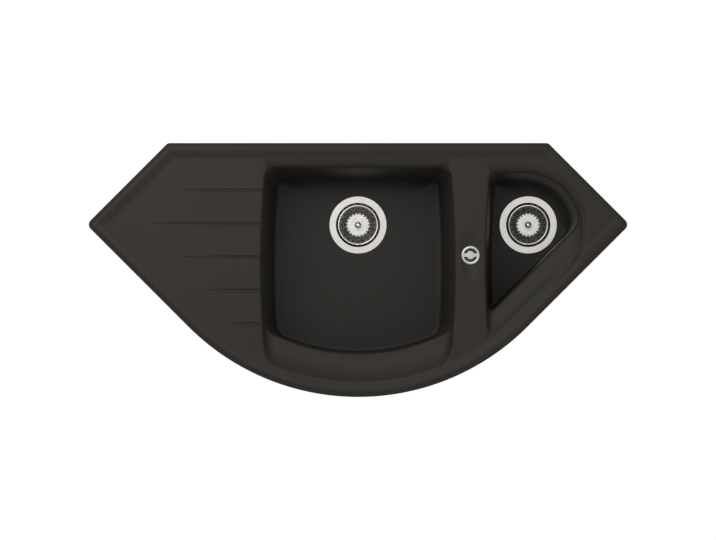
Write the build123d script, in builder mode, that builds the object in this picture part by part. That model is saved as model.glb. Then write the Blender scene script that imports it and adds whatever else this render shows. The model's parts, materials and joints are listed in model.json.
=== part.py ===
from build123d import *
import os
from math import asin, atan, cos, degrees, pi, radians, sin, sqrt, tan

# Corner kitchen sink: composite moulding with a ribbed drainer, a main bowl and a small bowl,
# two strainer wastes, a rotary control that lifts the main strainer, an overflow and the drain pipes.
# Millimetres. The origin is on the underside of the rim, at the middle of the back edge's seat.
# +X runs along the back edge to the small bowl, +Y points to the back, +Z is up.

os.makedirs("parts", exist_ok=True)

# ---------------------------------------------------------------- moulding outline
sink_width = 1060.0          # from tip to tip
sink_depth = 500.0           # back edge to the foot of the front arc
arc_past_divider = 31.343    # small bowl's front ledge stays curved this far right of the divider
tip_round = 12.0
corner_round = 10.0
seat_inset = 12.5            # back edge to the origin

# rim band
rim_height = 9.0             # crest above the worktop
edge_height = 3.0            # upright part of the outer edge
edge_round = 4.0
crest_inset = 8.0            # outer edge to the start of the crest
crest_round = 12.0
crease_inset = 28.0          # outer edge to the crease at the deck
crease_slope = 68.0          # inner side of the rim band, degrees from upright
deck_height = 4.5
deck_thickness = 8.5
flange_width = 22.0          # flat underside that rests on the worktop
shoulder_gap = 6.538         # back crease to the deck's arc round the small bowl
right_deck_height = 7.5      # flat deck at the right tip
right_deck_slope = 60.0

# bowls
wall = 8.0
floor = 9.0
side_radius = 2000.0         # long sides of the main bowl and the divider bulge a little
side_from_back = 240.0       # widest place of the main bowl
main_width = 383.0
main_depth = 190.0
main_back = 48.0             # back edge of the sink to the main bowl
main_draft = 7.3
main_corner = 16.0
main_foot_round = 13.0
main_mouth_round = 5.0
divider_width = 60.0
divider_draft = 4.0
small_depth = 135.0
small_wall_gap = 14.0        # the deck's arc to the small bowl's wall
small_draft = 9.0
small_corner = 10.0
small_foot_round = 7.0
small_mouth_round = 12.0
slope_inset = 29.5           # outer edge to the start of the slope inside the front rim
slope_angle = 45.0
main_ledge_inset = 85.5
small_ledge_inset = 72.0
ledge_draft = 1.0
ledge_round = 4.0

# drainer grooves and the scoop round the control
groove_count = 5
groove_pitch = 65.7
groove_from_back = 93.5
groove_width = 7.0
groove_drop = 2.0
groove_ends = (-361.0, -421.0, -360.0, -309.0, -262.0)
scoop_length = 106.0
scoop_width = 43.0
scoop_drop = 6.0
control_from_back = 220.7

# strainer wastes; drops are measured from the bowl's floor
drain_from_back = 160.8
small_drain_gap = 84.8       # divider to the centre of the small bowl's waste
sheet = 1.2
flange_radius = 56.3
flange_recess = 2.0
recess_gap = 1.0
pick_margin = 1.0            # slack where edges are picked by their place
flange_gasket_height = 1.5
cup_mouth = 43.8
cup_wall_radius = 42.0
cup_wall_drop = 25.0
cup_depth = 36.0
seat_top_radius = 37.0
seat_top_drop = 27.5
seat_foot_radius = 33.5
seat_foot_drop = 34.0
drain_hole_radius = 46.5
cup_hole_radius = 3.5
cup_hole_ring = 24.0
cup_hole_count = 12
basket_sheet = 0.8
lip_ring_radius = 38.3
lip_wire = 2.2
lip_drop = 1.6
basket_foot_radius = 23.2
basket_drop = 27.0
basket_hole_radius = 1.3
basket_hole_count = 20
basket_hole_rows = (33.4, 30.2, 27.0)
seal_height = 3.3
seat_gap = 0.3
knob_radius = 6.4
knob_height = 11.0
knob_foot_ring = 1.0
stem_radius = 3.0

# waste bodies under the floor
body_gasket_height = 2.0
body_flange_radius = 55.0
body_flange_height = 4.0
body_radius = 50.0
body_height = 59.0
body_floor = 4.0
outlet_drop = 45.0
outlet_reach = 78.0
screw_radius = 5.9
screw_head_radius = 9.0
screw_head_height = 3.0
screw_tail = 2.0
screw_slot = 2.0
screw_boss_radius = 11.0
thread_gap = 0.15
screw_end_gap = 1.0

# pipes with their sockets and union nuts: outside, wall, socket, length in the socket, nut, nut's lip,
# seal and the nut's grip on the socket
wide_pipe = (20.0, 2.0, 23.5, 15.0, 28.0, 3.0, 3.0, 12.0)
thin_pipe = (10.0, 1.5, 12.5, 9.0, 16.0, 2.0, 2.0, 8.0)
socket_gap = 0.5
thin_socket_gap = 0.3
seal_gap = 0.2
pipe_end_gap = 0.4
nut_flutes = 12
flute_radius = 1.5
tee_wall_gap = 79.5
tee_drop = 45.0
tee_neck = 1.5               # beside the nut
branch_neck = 1.0
branch_slope = 60.0
branch_bend = 35.0
nipple_top = 40.0            # branch pipe's axis to the end of the overflow socket
overflow_bend = 22.0

# rotary control and overflow, on the divider
ring_radius = 17.5
ring_bore = 13.4
ring_height = 3.0
ring_round = 1.2
bridge_radius = 7.8
bridge_half_angle = 26.0
bridge_height = 3.6
bridge_foot = 0.8
bridge_round = 0.8
knob_hub_radius = 4.5
knob_hub_drop = 6.0
knob_gap = 0.3
seat_drop = 2.5
seat_radius = 18.6
base_flange_radius = 18.2
base_flange_height = 1.2
base_gasket_height = 1.0
base_tube_radius = 15.0
base_mouth = 14.0
base_bore = 12.8
base_step_drop = 5.0
base_length = 34.0
control_hole_radius = 15.5
control_boss_radius = 20.5
control_boss_drop = 12.0
spindle_radius = 3.0
spindle_length = 74.0
spindle_end_gap = 1.0
running_gap = 0.05
fit_gap = 0.2
spider_hub_radius = 5.5
spider_hub_height = 8.0
spider_drop = 22.0
spoke_width = 3.0
grille_height = 1.0
grille_hole_radius = 0.9
grille_rings = ((7.0, 16), (9.4, 22), (11.8, 28))
housing_radius = 20.5
housing_bore = 17.5
housing_gasket_height = 1.5
housing_bottom = 58.0
housing_floor = 6.0
overflow_drop = 42.0
overflow_reach = 31.0
crank_radius = 9.0
crank_height = 5.0
crank_pin_radius = 4.5       # wire end from the spindle's axis
crank_drop = 70.0
wire_hole_offset = 1.5
cover_radius = 15.5
cover_wall = 2.5
cover_height = 22.0
cover_boss_reach = 18.0
cover_screw_ring = 18.2
small_screw_radius = 1.5
small_screw_head = 2.2
small_screw_head_height = 1.5
small_screw_length = 6.0

# lever under the main waste
lift = 8.0
lever_arm = 22.0
lever_width = 5.0
lever_eye_radius = 5.0
lever_tip_radius = 3.0
lever_drop = 83.0
axle_radius = 2.0
axle_tail = 1.0
lever_room = 16.0
lever_margin = 9.0
lever_wall = 2.5
lever_floor_gap = 2.0
lever_boss_radius = 4.5
lever_side_gap = 0.3
lever_ear = 10.0
lever_ear_height = 3.0
lever_screw_from_drain = 17.0
pin_radius = 2.5
pin_gap = 0.08
pin_foot_radius = 4.0
pin_foot_height = 2.0
pin_top_drop = 31.6

# release cable
cable_radius = 2.5
wire_radius = 0.75
ferrule_radius = 4.0
ferrule_length = 12.0
bend_share = 0.45            # of the shorter run beside a bend

# fixing clips and the sealing strip
worktop = 38.0
clip_inset = 38.0
clip_boss_radius = 8.0
clip_boss_height = 8.0
insert_radius = 4.0
insert_height = 7.0
clip_screw_radius = 2.5
clip_screw_head = 4.5
clip_screw_head_height = 3.0
clip_width = 16.0
clip_sheet = 2.0
clip_reach = 18.0
seal_inset = 4.0
seal_width = 6.0
seal_thickness = 1.5
seal_side_gap = 0.1

# ---------------------------------------------------------------- derived places
diagonal = sqrt(2.0)
back_y = seat_inset
divider_x = main_width / 2 + divider_width
front_radius = (divider_x + arc_past_divider) * diagonal + small_ledge_inset
front_centre_y = back_y - sink_depth + front_radius
tip_x = sink_width / 2 + tip_round * (diagonal - 1)
front_reach = front_radius * diagonal - front_centre_y
tip_y = tip_x - front_reach
back_reach = tip_x + tip_y
shoulder_radius = back_y - tip_y - crease_inset - shoulder_gap
shoulder_x = tip_x - (crease_inset + shoulder_radius) * diagonal
small_radius = shoulder_radius - small_wall_gap
side_y = back_y - side_from_back
deck_under = deck_height - deck_thickness
drain_y = back_y - drain_from_back
small_drain_x = divider_x + small_drain_gap
control_x = (main_width + divider_width) / 2
tee_from_drain = main_width / 2 - tee_wall_gap
control_y = back_y - control_from_back
main_floor_z = deck_height - main_depth
small_floor_z = deck_height - small_depth
wastes = (("main", 0.0, main_floor_z, 1), ("small", small_drain_x, small_floor_z, -1))
recess_radius = flange_radius + recess_gap


def rim_points(inset):
    """Back corner, tip and front tangent point of the outline, moved in by inset."""
    corner = (back_reach - inset * diagonal - back_y + inset, back_y - inset)
    tip = (tip_x - inset * diagonal, tip_y)
    reach = (front_radius - inset) / diagonal
    return corner, tip, (reach, front_centre_y - reach)


def mirrored(point):
    return (-point[0], point[1])


def rim_line(inset):
    corner, tip, tangent = rim_points(inset)
    foot = (0, front_centre_y - front_radius + inset)
    with BuildLine() as line:
        Polyline(tangent, tip, corner, mirrored(corner), mirrored(tip), mirrored(tangent))
        ThreePointArc(mirrored(tangent), foot, tangent)
    return line.line


def deck_line(inset):
    """The crease: as the outline, but round the small bowl at the right."""
    corner, tip, tangent = rim_points(inset)
    foot = (0, front_centre_y - front_radius + inset)
    reach = shoulder_radius + crease_inset - inset
    low = (shoulder_x + reach / diagonal, tip_y - reach / diagonal)
    high = (shoulder_x + reach / diagonal, tip_y + reach / diagonal)
    with BuildLine() as line:
        Line(tangent, low)
        ThreePointArc(low, (shoulder_x + reach, tip_y), high)
        Polyline(high, corner, mirrored(corner), mirrored(tip), mirrored(tangent))
        ThreePointArc(mirrored(tangent), foot, tangent)
    return line.line


def side_x(half_width, y):
    return half_width - side_radius + sqrt(side_radius**2 - (y - side_y) ** 2)


def front_block(ledge_inset, thickness, depth):
    """Material in front of a bowl: a concave slope from the crease to a ledge, then a drop."""
    slope = radians(slope_angle)
    ledge_reach = front_radius - ledge_inset
    radius = (ledge_inset - slope_inset) / sin(slope)
    centre_z = deck_height + radius * cos(slope)
    reach = radius + thickness
    first = asin(thickness / reach)
    middle = (first + slope) / 2
    start = (ledge_reach + reach * sin(first), centre_z - reach * cos(first))
    half = (ledge_reach + reach * sin(middle), centre_z - reach * cos(middle))
    end = (ledge_reach + reach * sin(slope), centre_z - reach * cos(slope))
    foot = (start[0] - (start[1] + depth) * tan(radians(ledge_draft)), -depth)
    outside = front_radius + sink_depth / 2
    across = Plane(origin=(0, front_centre_y, 0), x_dir=(1, -1, 0), z_dir=(-1, -1, 0))
    with BuildPart(mode=Mode.PRIVATE) as block:
        with BuildSketch(across) as section:
            with BuildLine():
                Line(foot, start)
                ThreePointArc(start, half, end)
                Polyline(end, (end[0], depth), (outside, depth), (outside, -depth), foot)
            make_face()
        revolve(axis=Axis((0, front_centre_y, 0), (0, 0, -1)), revolution_arc=90)
        with BuildSketch(across):
            add(section.sketch_local)
        straight = extrude(amount=-sink_depth)
        mirror(straight, about=Plane.YZ)
    return block.part


def upright_edges(bowl, depth):
    return bowl.edges().filter_by(lambda e: e.bounding_box().size.Z > depth / 2)


def main_bowl(thickness, depth):
    """The main bowl's hollow, or its outside when thickness is the wall."""
    half = main_width / 2 + thickness
    back = back_y - main_back + thickness
    front = front_centre_y - front_radius + crest_inset
    with BuildPart(mode=Mode.PRIVATE) as bowl:
        with BuildSketch(Plane.XY.offset(deck_height)):
            with BuildLine():
                low, high = (side_x(half, front), front), (side_x(half, back), back)
                ThreePointArc(low, (half, side_y), high)
                Line(high, mirrored(high))
                ThreePointArc(mirrored(high), (-half, side_y), mirrored(low))
                Line(mirrored(low), low)
            make_face()
        extrude(amount=-depth, taper=main_draft)
        add(front_block(main_ledge_inset, thickness, depth + floor), mode=Mode.SUBTRACT)
        if thickness == 0:
            radius = (main_ledge_inset - slope_inset) / sin(radians(slope_angle))
            ledge_z = deck_height - radius * (1 - cos(radians(slope_angle)))
            lip = bowl.edges().filter_by(GeomType.CIRCLE)
            fillet(lip.filter_by_position(Axis.Z, ledge_z - 0.1, ledge_z + 0.1), ledge_round)
        corners = upright_edges(bowl, depth)
        fillet(corners.filter_by(lambda e: e.center().Y > side_y), main_corner + thickness)
        corners = upright_edges(bowl, depth)
        fillet(corners.filter_by(lambda e: e.center().Y < side_y), main_corner + thickness)
        fillet(bowl.edges().group_by(Axis.Z)[0], main_foot_round + thickness / 2)
    return bowl.part


def small_bowl(thickness, depth):
    """The small bowl's hollow, or its outside when thickness is the wall."""
    radius = small_radius + thickness
    lean = (shoulder_radius + crease_inset - slope_inset - small_radius) / diagonal
    x, y = shoulder_x + lean, tip_y - lean
    low = (x + radius / diagonal, y - radius / diagonal)
    back = y + radius
    left = min(divider_x, x) - divider_width
    run = low[0] - left
    margin = crease_inset / 2
    tangent_length = small_mouth_round * tan(radians(90 - small_draft) / 2)
    draft = radians(small_draft)
    with BuildPart(mode=Mode.PRIVATE) as bowl:
        with BuildSketch(Plane.XY.offset(deck_height)):
            with BuildLine():
                Line((left, back), (x, back))
                ThreePointArc((x, back), (x + radius * cos(pi / 8), y + radius * sin(pi / 8)), low)
                Polyline(low, (left, low[1] - run), (left, back))
            make_face()
        extrude(amount=-depth, taper=small_draft)
        with BuildSketch(Plane.XY.offset(deck_height)):
            inner = (low[0] - 2 * margin, low[1] + 2 * margin)
            outer = (low[0] + margin, low[1] - margin)
            with BuildLine():
                Polyline(
                    inner, outer, (outer[0] - run, outer[1] - run), (inner[0] - run, inner[1] - run), inner
                )
            make_face()
        extrude(amount=-depth)
        if thickness == 0:
            across = Plane(origin=(x, y, 0), x_dir=(0, 1, 0), z_dir=(1, 0, 0))
            centre = (radius + tangent_length, deck_height - small_mouth_round)
            foot = (radius - tangent_length * sin(draft), deck_height - tangent_length * cos(draft))
            half = radians(135 - small_draft / 2)
            knee = (centre[0] + small_mouth_round * cos(half), centre[1] + small_mouth_round * sin(half))
            inside = radius - small_mouth_round
            with BuildSketch(across) as section:
                with BuildLine():
                    ThreePointArc((centre[0], deck_height), knee, foot)
                    Polyline(foot, (inside, foot[1]), (inside, deck_height), (centre[0], deck_height))
                make_face()
            revolve(axis=Axis((x, y, 0), (0, 0, -1)), revolution_arc=135)
            with BuildSketch(across):
                add(section.sketch_local)
            extrude(amount=-(x - left))
        with BuildSketch(Plane.XY.offset(deck_height)):
            edge = divider_x - thickness
            half_length = sink_depth / 2
            bend = side_radius - sqrt(side_radius**2 - half_length**2)
            top, bottom = (edge + bend, side_y + half_length), (edge + bend, side_y - half_length)
            with BuildLine():
                ThreePointArc(top, (edge, side_y), bottom)
                Polyline(bottom, (tip_x, bottom[1]), (tip_x, top[1]), top)
            make_face()
        extrude(amount=-depth, taper=divider_draft, mode=Mode.INTERSECT)
        add(front_block(small_ledge_inset, thickness, depth + floor), mode=Mode.SUBTRACT)
        near = divider_x + arc_past_divider / 2
        corners = upright_edges(bowl, depth).filter_by(lambda e: e.center().X < near)
        fillet(corners.filter_by(lambda e: e.center().Y > tip_y), small_corner + thickness)
        corners = upright_edges(bowl, depth).filter_by(lambda e: e.center().X < near)
        fillet(corners.filter_by(lambda e: e.center().Y < side_y), small_corner + thickness)
        fillet(bowl.edges().group_by(Axis.Z)[0], small_foot_round + thickness / 2)
    return bowl.part


def clip_spots():
    """Centre and outward angle of each fixing clip, clear of the bowls."""
    corner, tip, tangent = rim_points(clip_inset)
    spots = []
    for share in (0.25, 0.75):
        upper = (corner[0] + (tip[0] - corner[0]) * share, corner[1] + (tip[1] - corner[1]) * share)
        spots.append((-upper[0], upper[1], 135.0))
    for share in (0.3, 0.8):
        lower = (tip[0] + (tangent[0] - tip[0]) * share, tip[1] + (tangent[1] - tip[1]) * share)
        spots.append((-lower[0], lower[1], 225.0))
    spots.append((tip[0] - clip_width, tip[1] - clip_width, 315.0))
    spots.append((tip[0] - clip_width, tip[1] + clip_width, 45.0))
    spots.append((-corner[0] * 0.75, corner[1], 90.0))
    spots.append((control_x, corner[1], 90.0))
    reach = front_radius - clip_inset
    turn = asin(control_x / reach)
    for side in (-1, 1):
        spots.append((side * control_x, front_centre_y - reach * cos(turn), 270.0 + side * degrees(turn)))
    return spots


clips = clip_spots()

# ---------------------------------------------------------------- the moulding
crest_slope = degrees(atan(crest_inset / (rim_height - edge_height)))
with BuildPart() as sink_body:
    with BuildSketch() as outline:
        add(rim_line(0))
        make_face()
        tips = outline.vertices().group_by(Axis.X)
        fillet(tips[0] + tips[-1], tip_round)
        fillet(outline.vertices().group_by(Axis.Y)[-1], corner_round)
    extrude(amount=edge_height)
    with BuildSketch(Plane.XY.offset(edge_height)):
        add(outline.sketch_local)
    extrude(amount=rim_height - edge_height, taper=crest_slope)
    fillet(sink_body.edges().group_by(Axis.Z)[-1], crest_round)
    fillet(sink_body.edges().filter_by(lambda e: abs(e.center().Z - edge_height) < 0.01), edge_round)

    # deck underside, bowls' outsides, bosses for the clips and for the control
    with BuildSketch(Plane.XY.offset(deck_under)):
        add(rim_line(flange_width))
        make_face()
    extrude(amount=-deck_under)
    add(main_bowl(wall, main_depth + floor))
    add(small_bowl(wall, small_depth + floor))
    with BuildSketch():
        with Locations((control_x, control_y)):
            Circle(control_boss_radius)
    extrude(amount=-control_boss_drop)
    with BuildSketch():
        with Locations([(x, y) for x, y, _ in clips]):
            Circle(clip_boss_radius)
    extrude(amount=deck_under - clip_boss_height)

    # recessed deck inside the rim band, and the flat deck at the right tip
    with BuildSketch(Plane.XY.offset(deck_height)):
        add(deck_line(crease_inset))
        make_face()
    extrude(amount=rim_height, taper=-crease_slope, mode=Mode.SUBTRACT)
    crease_corner, crease_tip, _ = rim_points(crease_inset)
    outward = 2 * crease_inset / diagonal
    span = (shoulder_radius - crease_inset) / diagonal
    tip_run = (crease_tip[0] - shoulder_x - shoulder_radius / diagonal) / 2
    with BuildSketch(Plane.XY.offset(right_deck_height)):
        with BuildLine():
            Polyline(
                (shoulder_x + span, tip_y - span),
                (crease_tip[0] - tip_run, tip_y - tip_run),
                crease_tip,
                (crease_tip[0] + outward, crease_tip[1] + outward),
                (crease_corner[0] + outward, crease_corner[1] + outward),
                crease_corner,
                (shoulder_x + span, tip_y + span),
                (shoulder_x + span, tip_y - span),
            )
        make_face()
    extrude(amount=rim_height, taper=-right_deck_slope, mode=Mode.SUBTRACT)

    # the two bowls
    add(main_bowl(0, main_depth), mode=Mode.SUBTRACT)
    mouth = sink_body.edges().filter_by(lambda e: abs(e.center().Z - deck_height) < 0.01)
    mouth = mouth.filter_by(lambda e: abs(e.center().X) < main_width / 2 + pick_margin)
    mouth = mouth.filter_by(lambda e: e.center().Y < back_y - main_back + pick_margin)
    slope_top = front_centre_y - front_radius + slope_inset + pick_margin
    fillet(mouth.filter_by(lambda e: e.center().Y > slope_top), main_mouth_round)
    add(small_bowl(0, small_depth), mode=Mode.SUBTRACT)

    # drainer grooves, each fading out at its left end
    groove_radius = (groove_width**2 / 4 + groove_drop**2) / (2 * groove_drop)
    for index in range(groove_count):
        y = back_y - groove_from_back - index * groove_pitch
        end_x = groove_ends[index]
        start_x = -side_x(main_width / 2, y) + wall
        start = Vector(start_x, y, deck_height + groove_radius - groove_drop)
        run = Vector(end_x, y, deck_height + groove_radius) - start
        with BuildSketch(Plane(origin=start, z_dir=run)):
            Circle(groove_radius)
        extrude(amount=run.length, mode=Mode.SUBTRACT)

    # scoop in the divider, and the control's seat and hole in it
    section_radius = (scoop_width**2 / 4 + scoop_drop**2) / (2 * scoop_drop)
    axis_z = deck_height - scoop_drop + section_radius
    end_radius = section_radius - scoop_drop
    with BuildSketch(Plane(origin=(control_x, control_y, axis_z), x_dir=(0, 1, 0), z_dir=(1, 0, 0))):
        with BuildLine():
            Polyline(
                (-scoop_length / 2, -end_radius), (-scoop_length / 2, 0), (scoop_length / 2, 0),
                (scoop_length / 2, -end_radius),
            )
            ThreePointArc(
                (scoop_length / 2, -end_radius), (0, -section_radius), (-scoop_length / 2, -end_radius)
            )
        make_face()
    revolve(axis=Axis((control_x, control_y, axis_z), (0, 1, 0)), mode=Mode.SUBTRACT)
    with BuildSketch(Plane.XY.offset(-seat_drop)):
        with Locations((control_x, control_y)):
            Circle(seat_radius)
    extrude(amount=rim_height, mode=Mode.SUBTRACT)
    with BuildSketch():
        with Locations((control_x, control_y)):
            Circle(control_hole_radius)
    extrude(amount=2 * control_boss_drop, both=True, mode=Mode.SUBTRACT)

    # drain holes with a shallow recess for each flange
    for _, x, floor_z, _ in wastes:
        with BuildSketch(Plane.XY.offset(floor_z - flange_recess)):
            with Locations((x, drain_y)):
                Circle(recess_radius)
        extrude(amount=2 * flange_recess, mode=Mode.SUBTRACT)
        with BuildSketch(Plane.XY.offset(floor_z)):
            with Locations((x, drain_y)):
                Circle(drain_hole_radius)
        extrude(amount=2 * floor, both=True, mode=Mode.SUBTRACT)

    # sealing strip's groove and the clip insert holes, from below
    with BuildSketch():
        add(rim_line(seal_inset))
        make_face()
        add(make_face(rim_line(seal_inset + seal_width).edges(), mode=Mode.PRIVATE), mode=Mode.SUBTRACT)
    extrude(amount=seal_thickness, mode=Mode.SUBTRACT)
    with BuildSketch(Plane.XY.offset(deck_under - clip_boss_height)):
        with Locations([(x, y) for x, y, _ in clips]):
            Circle(insert_radius)
    extrude(amount=insert_height, mode=Mode.SUBTRACT)
sink_body.part.label = "sink_body"
export_step(sink_body.part, "parts/sink_body.step")


# ---------------------------------------------------------------- rim strip and fixing clips
with BuildPart() as rim_seal:
    with BuildSketch():
        add(rim_line(seal_inset + seal_side_gap))
        make_face()
        inner = rim_line(seal_inset + seal_width - seal_side_gap)
        add(make_face(inner.edges(), mode=Mode.PRIVATE), mode=Mode.SUBTRACT)
    extrude(amount=seal_thickness)
rim_seal.part.label = "rim_seal"
export_step(rim_seal.part, "parts/rim_seal.step")

clip_places = [(x, y) for x, y, _ in clips]
clip_foot_z = deck_under - clip_boss_height
with BuildPart() as clip_inserts:
    with BuildSketch(Plane.XY.offset(clip_foot_z)):
        with Locations(clip_places):
            Circle(insert_radius)
            Circle(clip_screw_radius + thread_gap, mode=Mode.SUBTRACT)
    extrude(amount=insert_height)
clip_inserts.part.label = "clip_inserts"
export_step(clip_inserts.part, "parts/clip_inserts.step")

with BuildPart() as clip_brackets:
    for x, y, angle in clips:
        out = (cos(radians(angle)), sin(radians(angle)), 0)
        inner = clip_width / 2
        outer = inner + clip_sheet
        with BuildSketch(Plane(origin=(x, y, 0), x_dir=out, z_dir=(out[1], -out[0], 0))):
            with BuildLine():
                Polyline(
                    (-inner, clip_foot_z), (outer, clip_foot_z), (outer, -worktop),
                    (outer + clip_reach, -worktop), (outer + clip_reach, -worktop - clip_sheet),
                    (inner, -worktop - clip_sheet), (inner, clip_foot_z - clip_sheet),
                    (-inner, clip_foot_z - clip_sheet), (-inner, clip_foot_z),
                )
            make_face()
        extrude(amount=clip_width / 2, both=True)
    with BuildSketch(Plane.XY.offset(clip_foot_z)):
        with Locations(clip_places):
            Circle(clip_screw_radius + fit_gap)
    extrude(amount=-clip_sheet, mode=Mode.SUBTRACT)
clip_brackets.part.label = "clip_brackets"
export_step(clip_brackets.part, "parts/clip_brackets.step")

with BuildPart() as clip_screws:
    with BuildSketch(Plane.XY.offset(clip_foot_z - clip_sheet)):
        with Locations(clip_places):
            Circle(clip_screw_head)
    extrude(amount=-clip_screw_head_height)
    with BuildSketch(Plane.XY.offset(clip_foot_z - clip_sheet)):
        with Locations(clip_places):
            Circle(clip_screw_radius)
    extrude(amount=clip_sheet + insert_height - screw_end_gap)
clip_screws.part.label = "clip_screws"
export_step(clip_screws.part, "parts/clip_screws.step")


# ---------------------------------------------------------------- shared shapes
def washer(x, y, top, height, outer, inner=0.0, mode=Mode.ADD):
    """An upright disc or ring, from its top down."""
    with BuildSketch(Plane.XY.offset(top)) as ring:
        with Locations((x, y)):
            Circle(outer)
            if inner:
                Circle(inner, mode=Mode.SUBTRACT)
    extrude(ring.sketch, amount=-height, mode=mode)


def rod(start, along, length, radius, mode=Mode.ADD):
    with BuildSketch(Plane(origin=start, z_dir=along)) as disc:
        Circle(radius)
    extrude(disc.sketch, amount=length, mode=mode)


def moved(point, along, distance):
    return tuple(p + a * distance for p, a in zip(point, along))


def section_plane(x, y, z):
    """Upright plane through a round piece's axis: its x is a radius and its y a height."""
    return Plane(origin=(x, y, z), x_dir=(1, 0, 0), z_dir=(0, -1, 0))


def union(name, end, along, pipe_kind):
    """Seal and nut on the socket that ends at end; along points out of the socket."""
    pipe, _, socket, _, nut, lip, seal, grip = pipe_kind
    with BuildPart() as seal_ring:
        rod(end, along, seal, socket)
        rod(end, along, seal, pipe + seal_gap, Mode.SUBTRACT)
    seal_ring.part.label = name + "_seal"
    export_step(seal_ring.part, "parts/" + name + "_seal.step")
    back = moved(end, along, -grip)
    with BuildPart() as nut_ring:
        with BuildSketch(Plane(origin=back, z_dir=along)):
            Circle(nut)
            with PolarLocations(nut + flute_radius / 2, nut_flutes):
                Circle(flute_radius, mode=Mode.SUBTRACT)
        extrude(amount=grip + seal + lip)
        rod(back, along, grip + seal, socket + fit_gap, Mode.SUBTRACT)
        rod(back, along, grip + seal + lip, pipe + 2 * fit_gap, Mode.SUBTRACT)
    nut_ring.part.label = name + "_nut"
    export_step(nut_ring.part, "parts/" + name + "_nut.step")


# ---------------------------------------------------------------- the two strainer wastes
seat_slope = (seat_top_radius - seat_foot_radius) / (seat_foot_drop - seat_top_drop)


def seat_radius_at(drop):
    return seat_top_radius - (drop - seat_top_drop) * seat_slope


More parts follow.
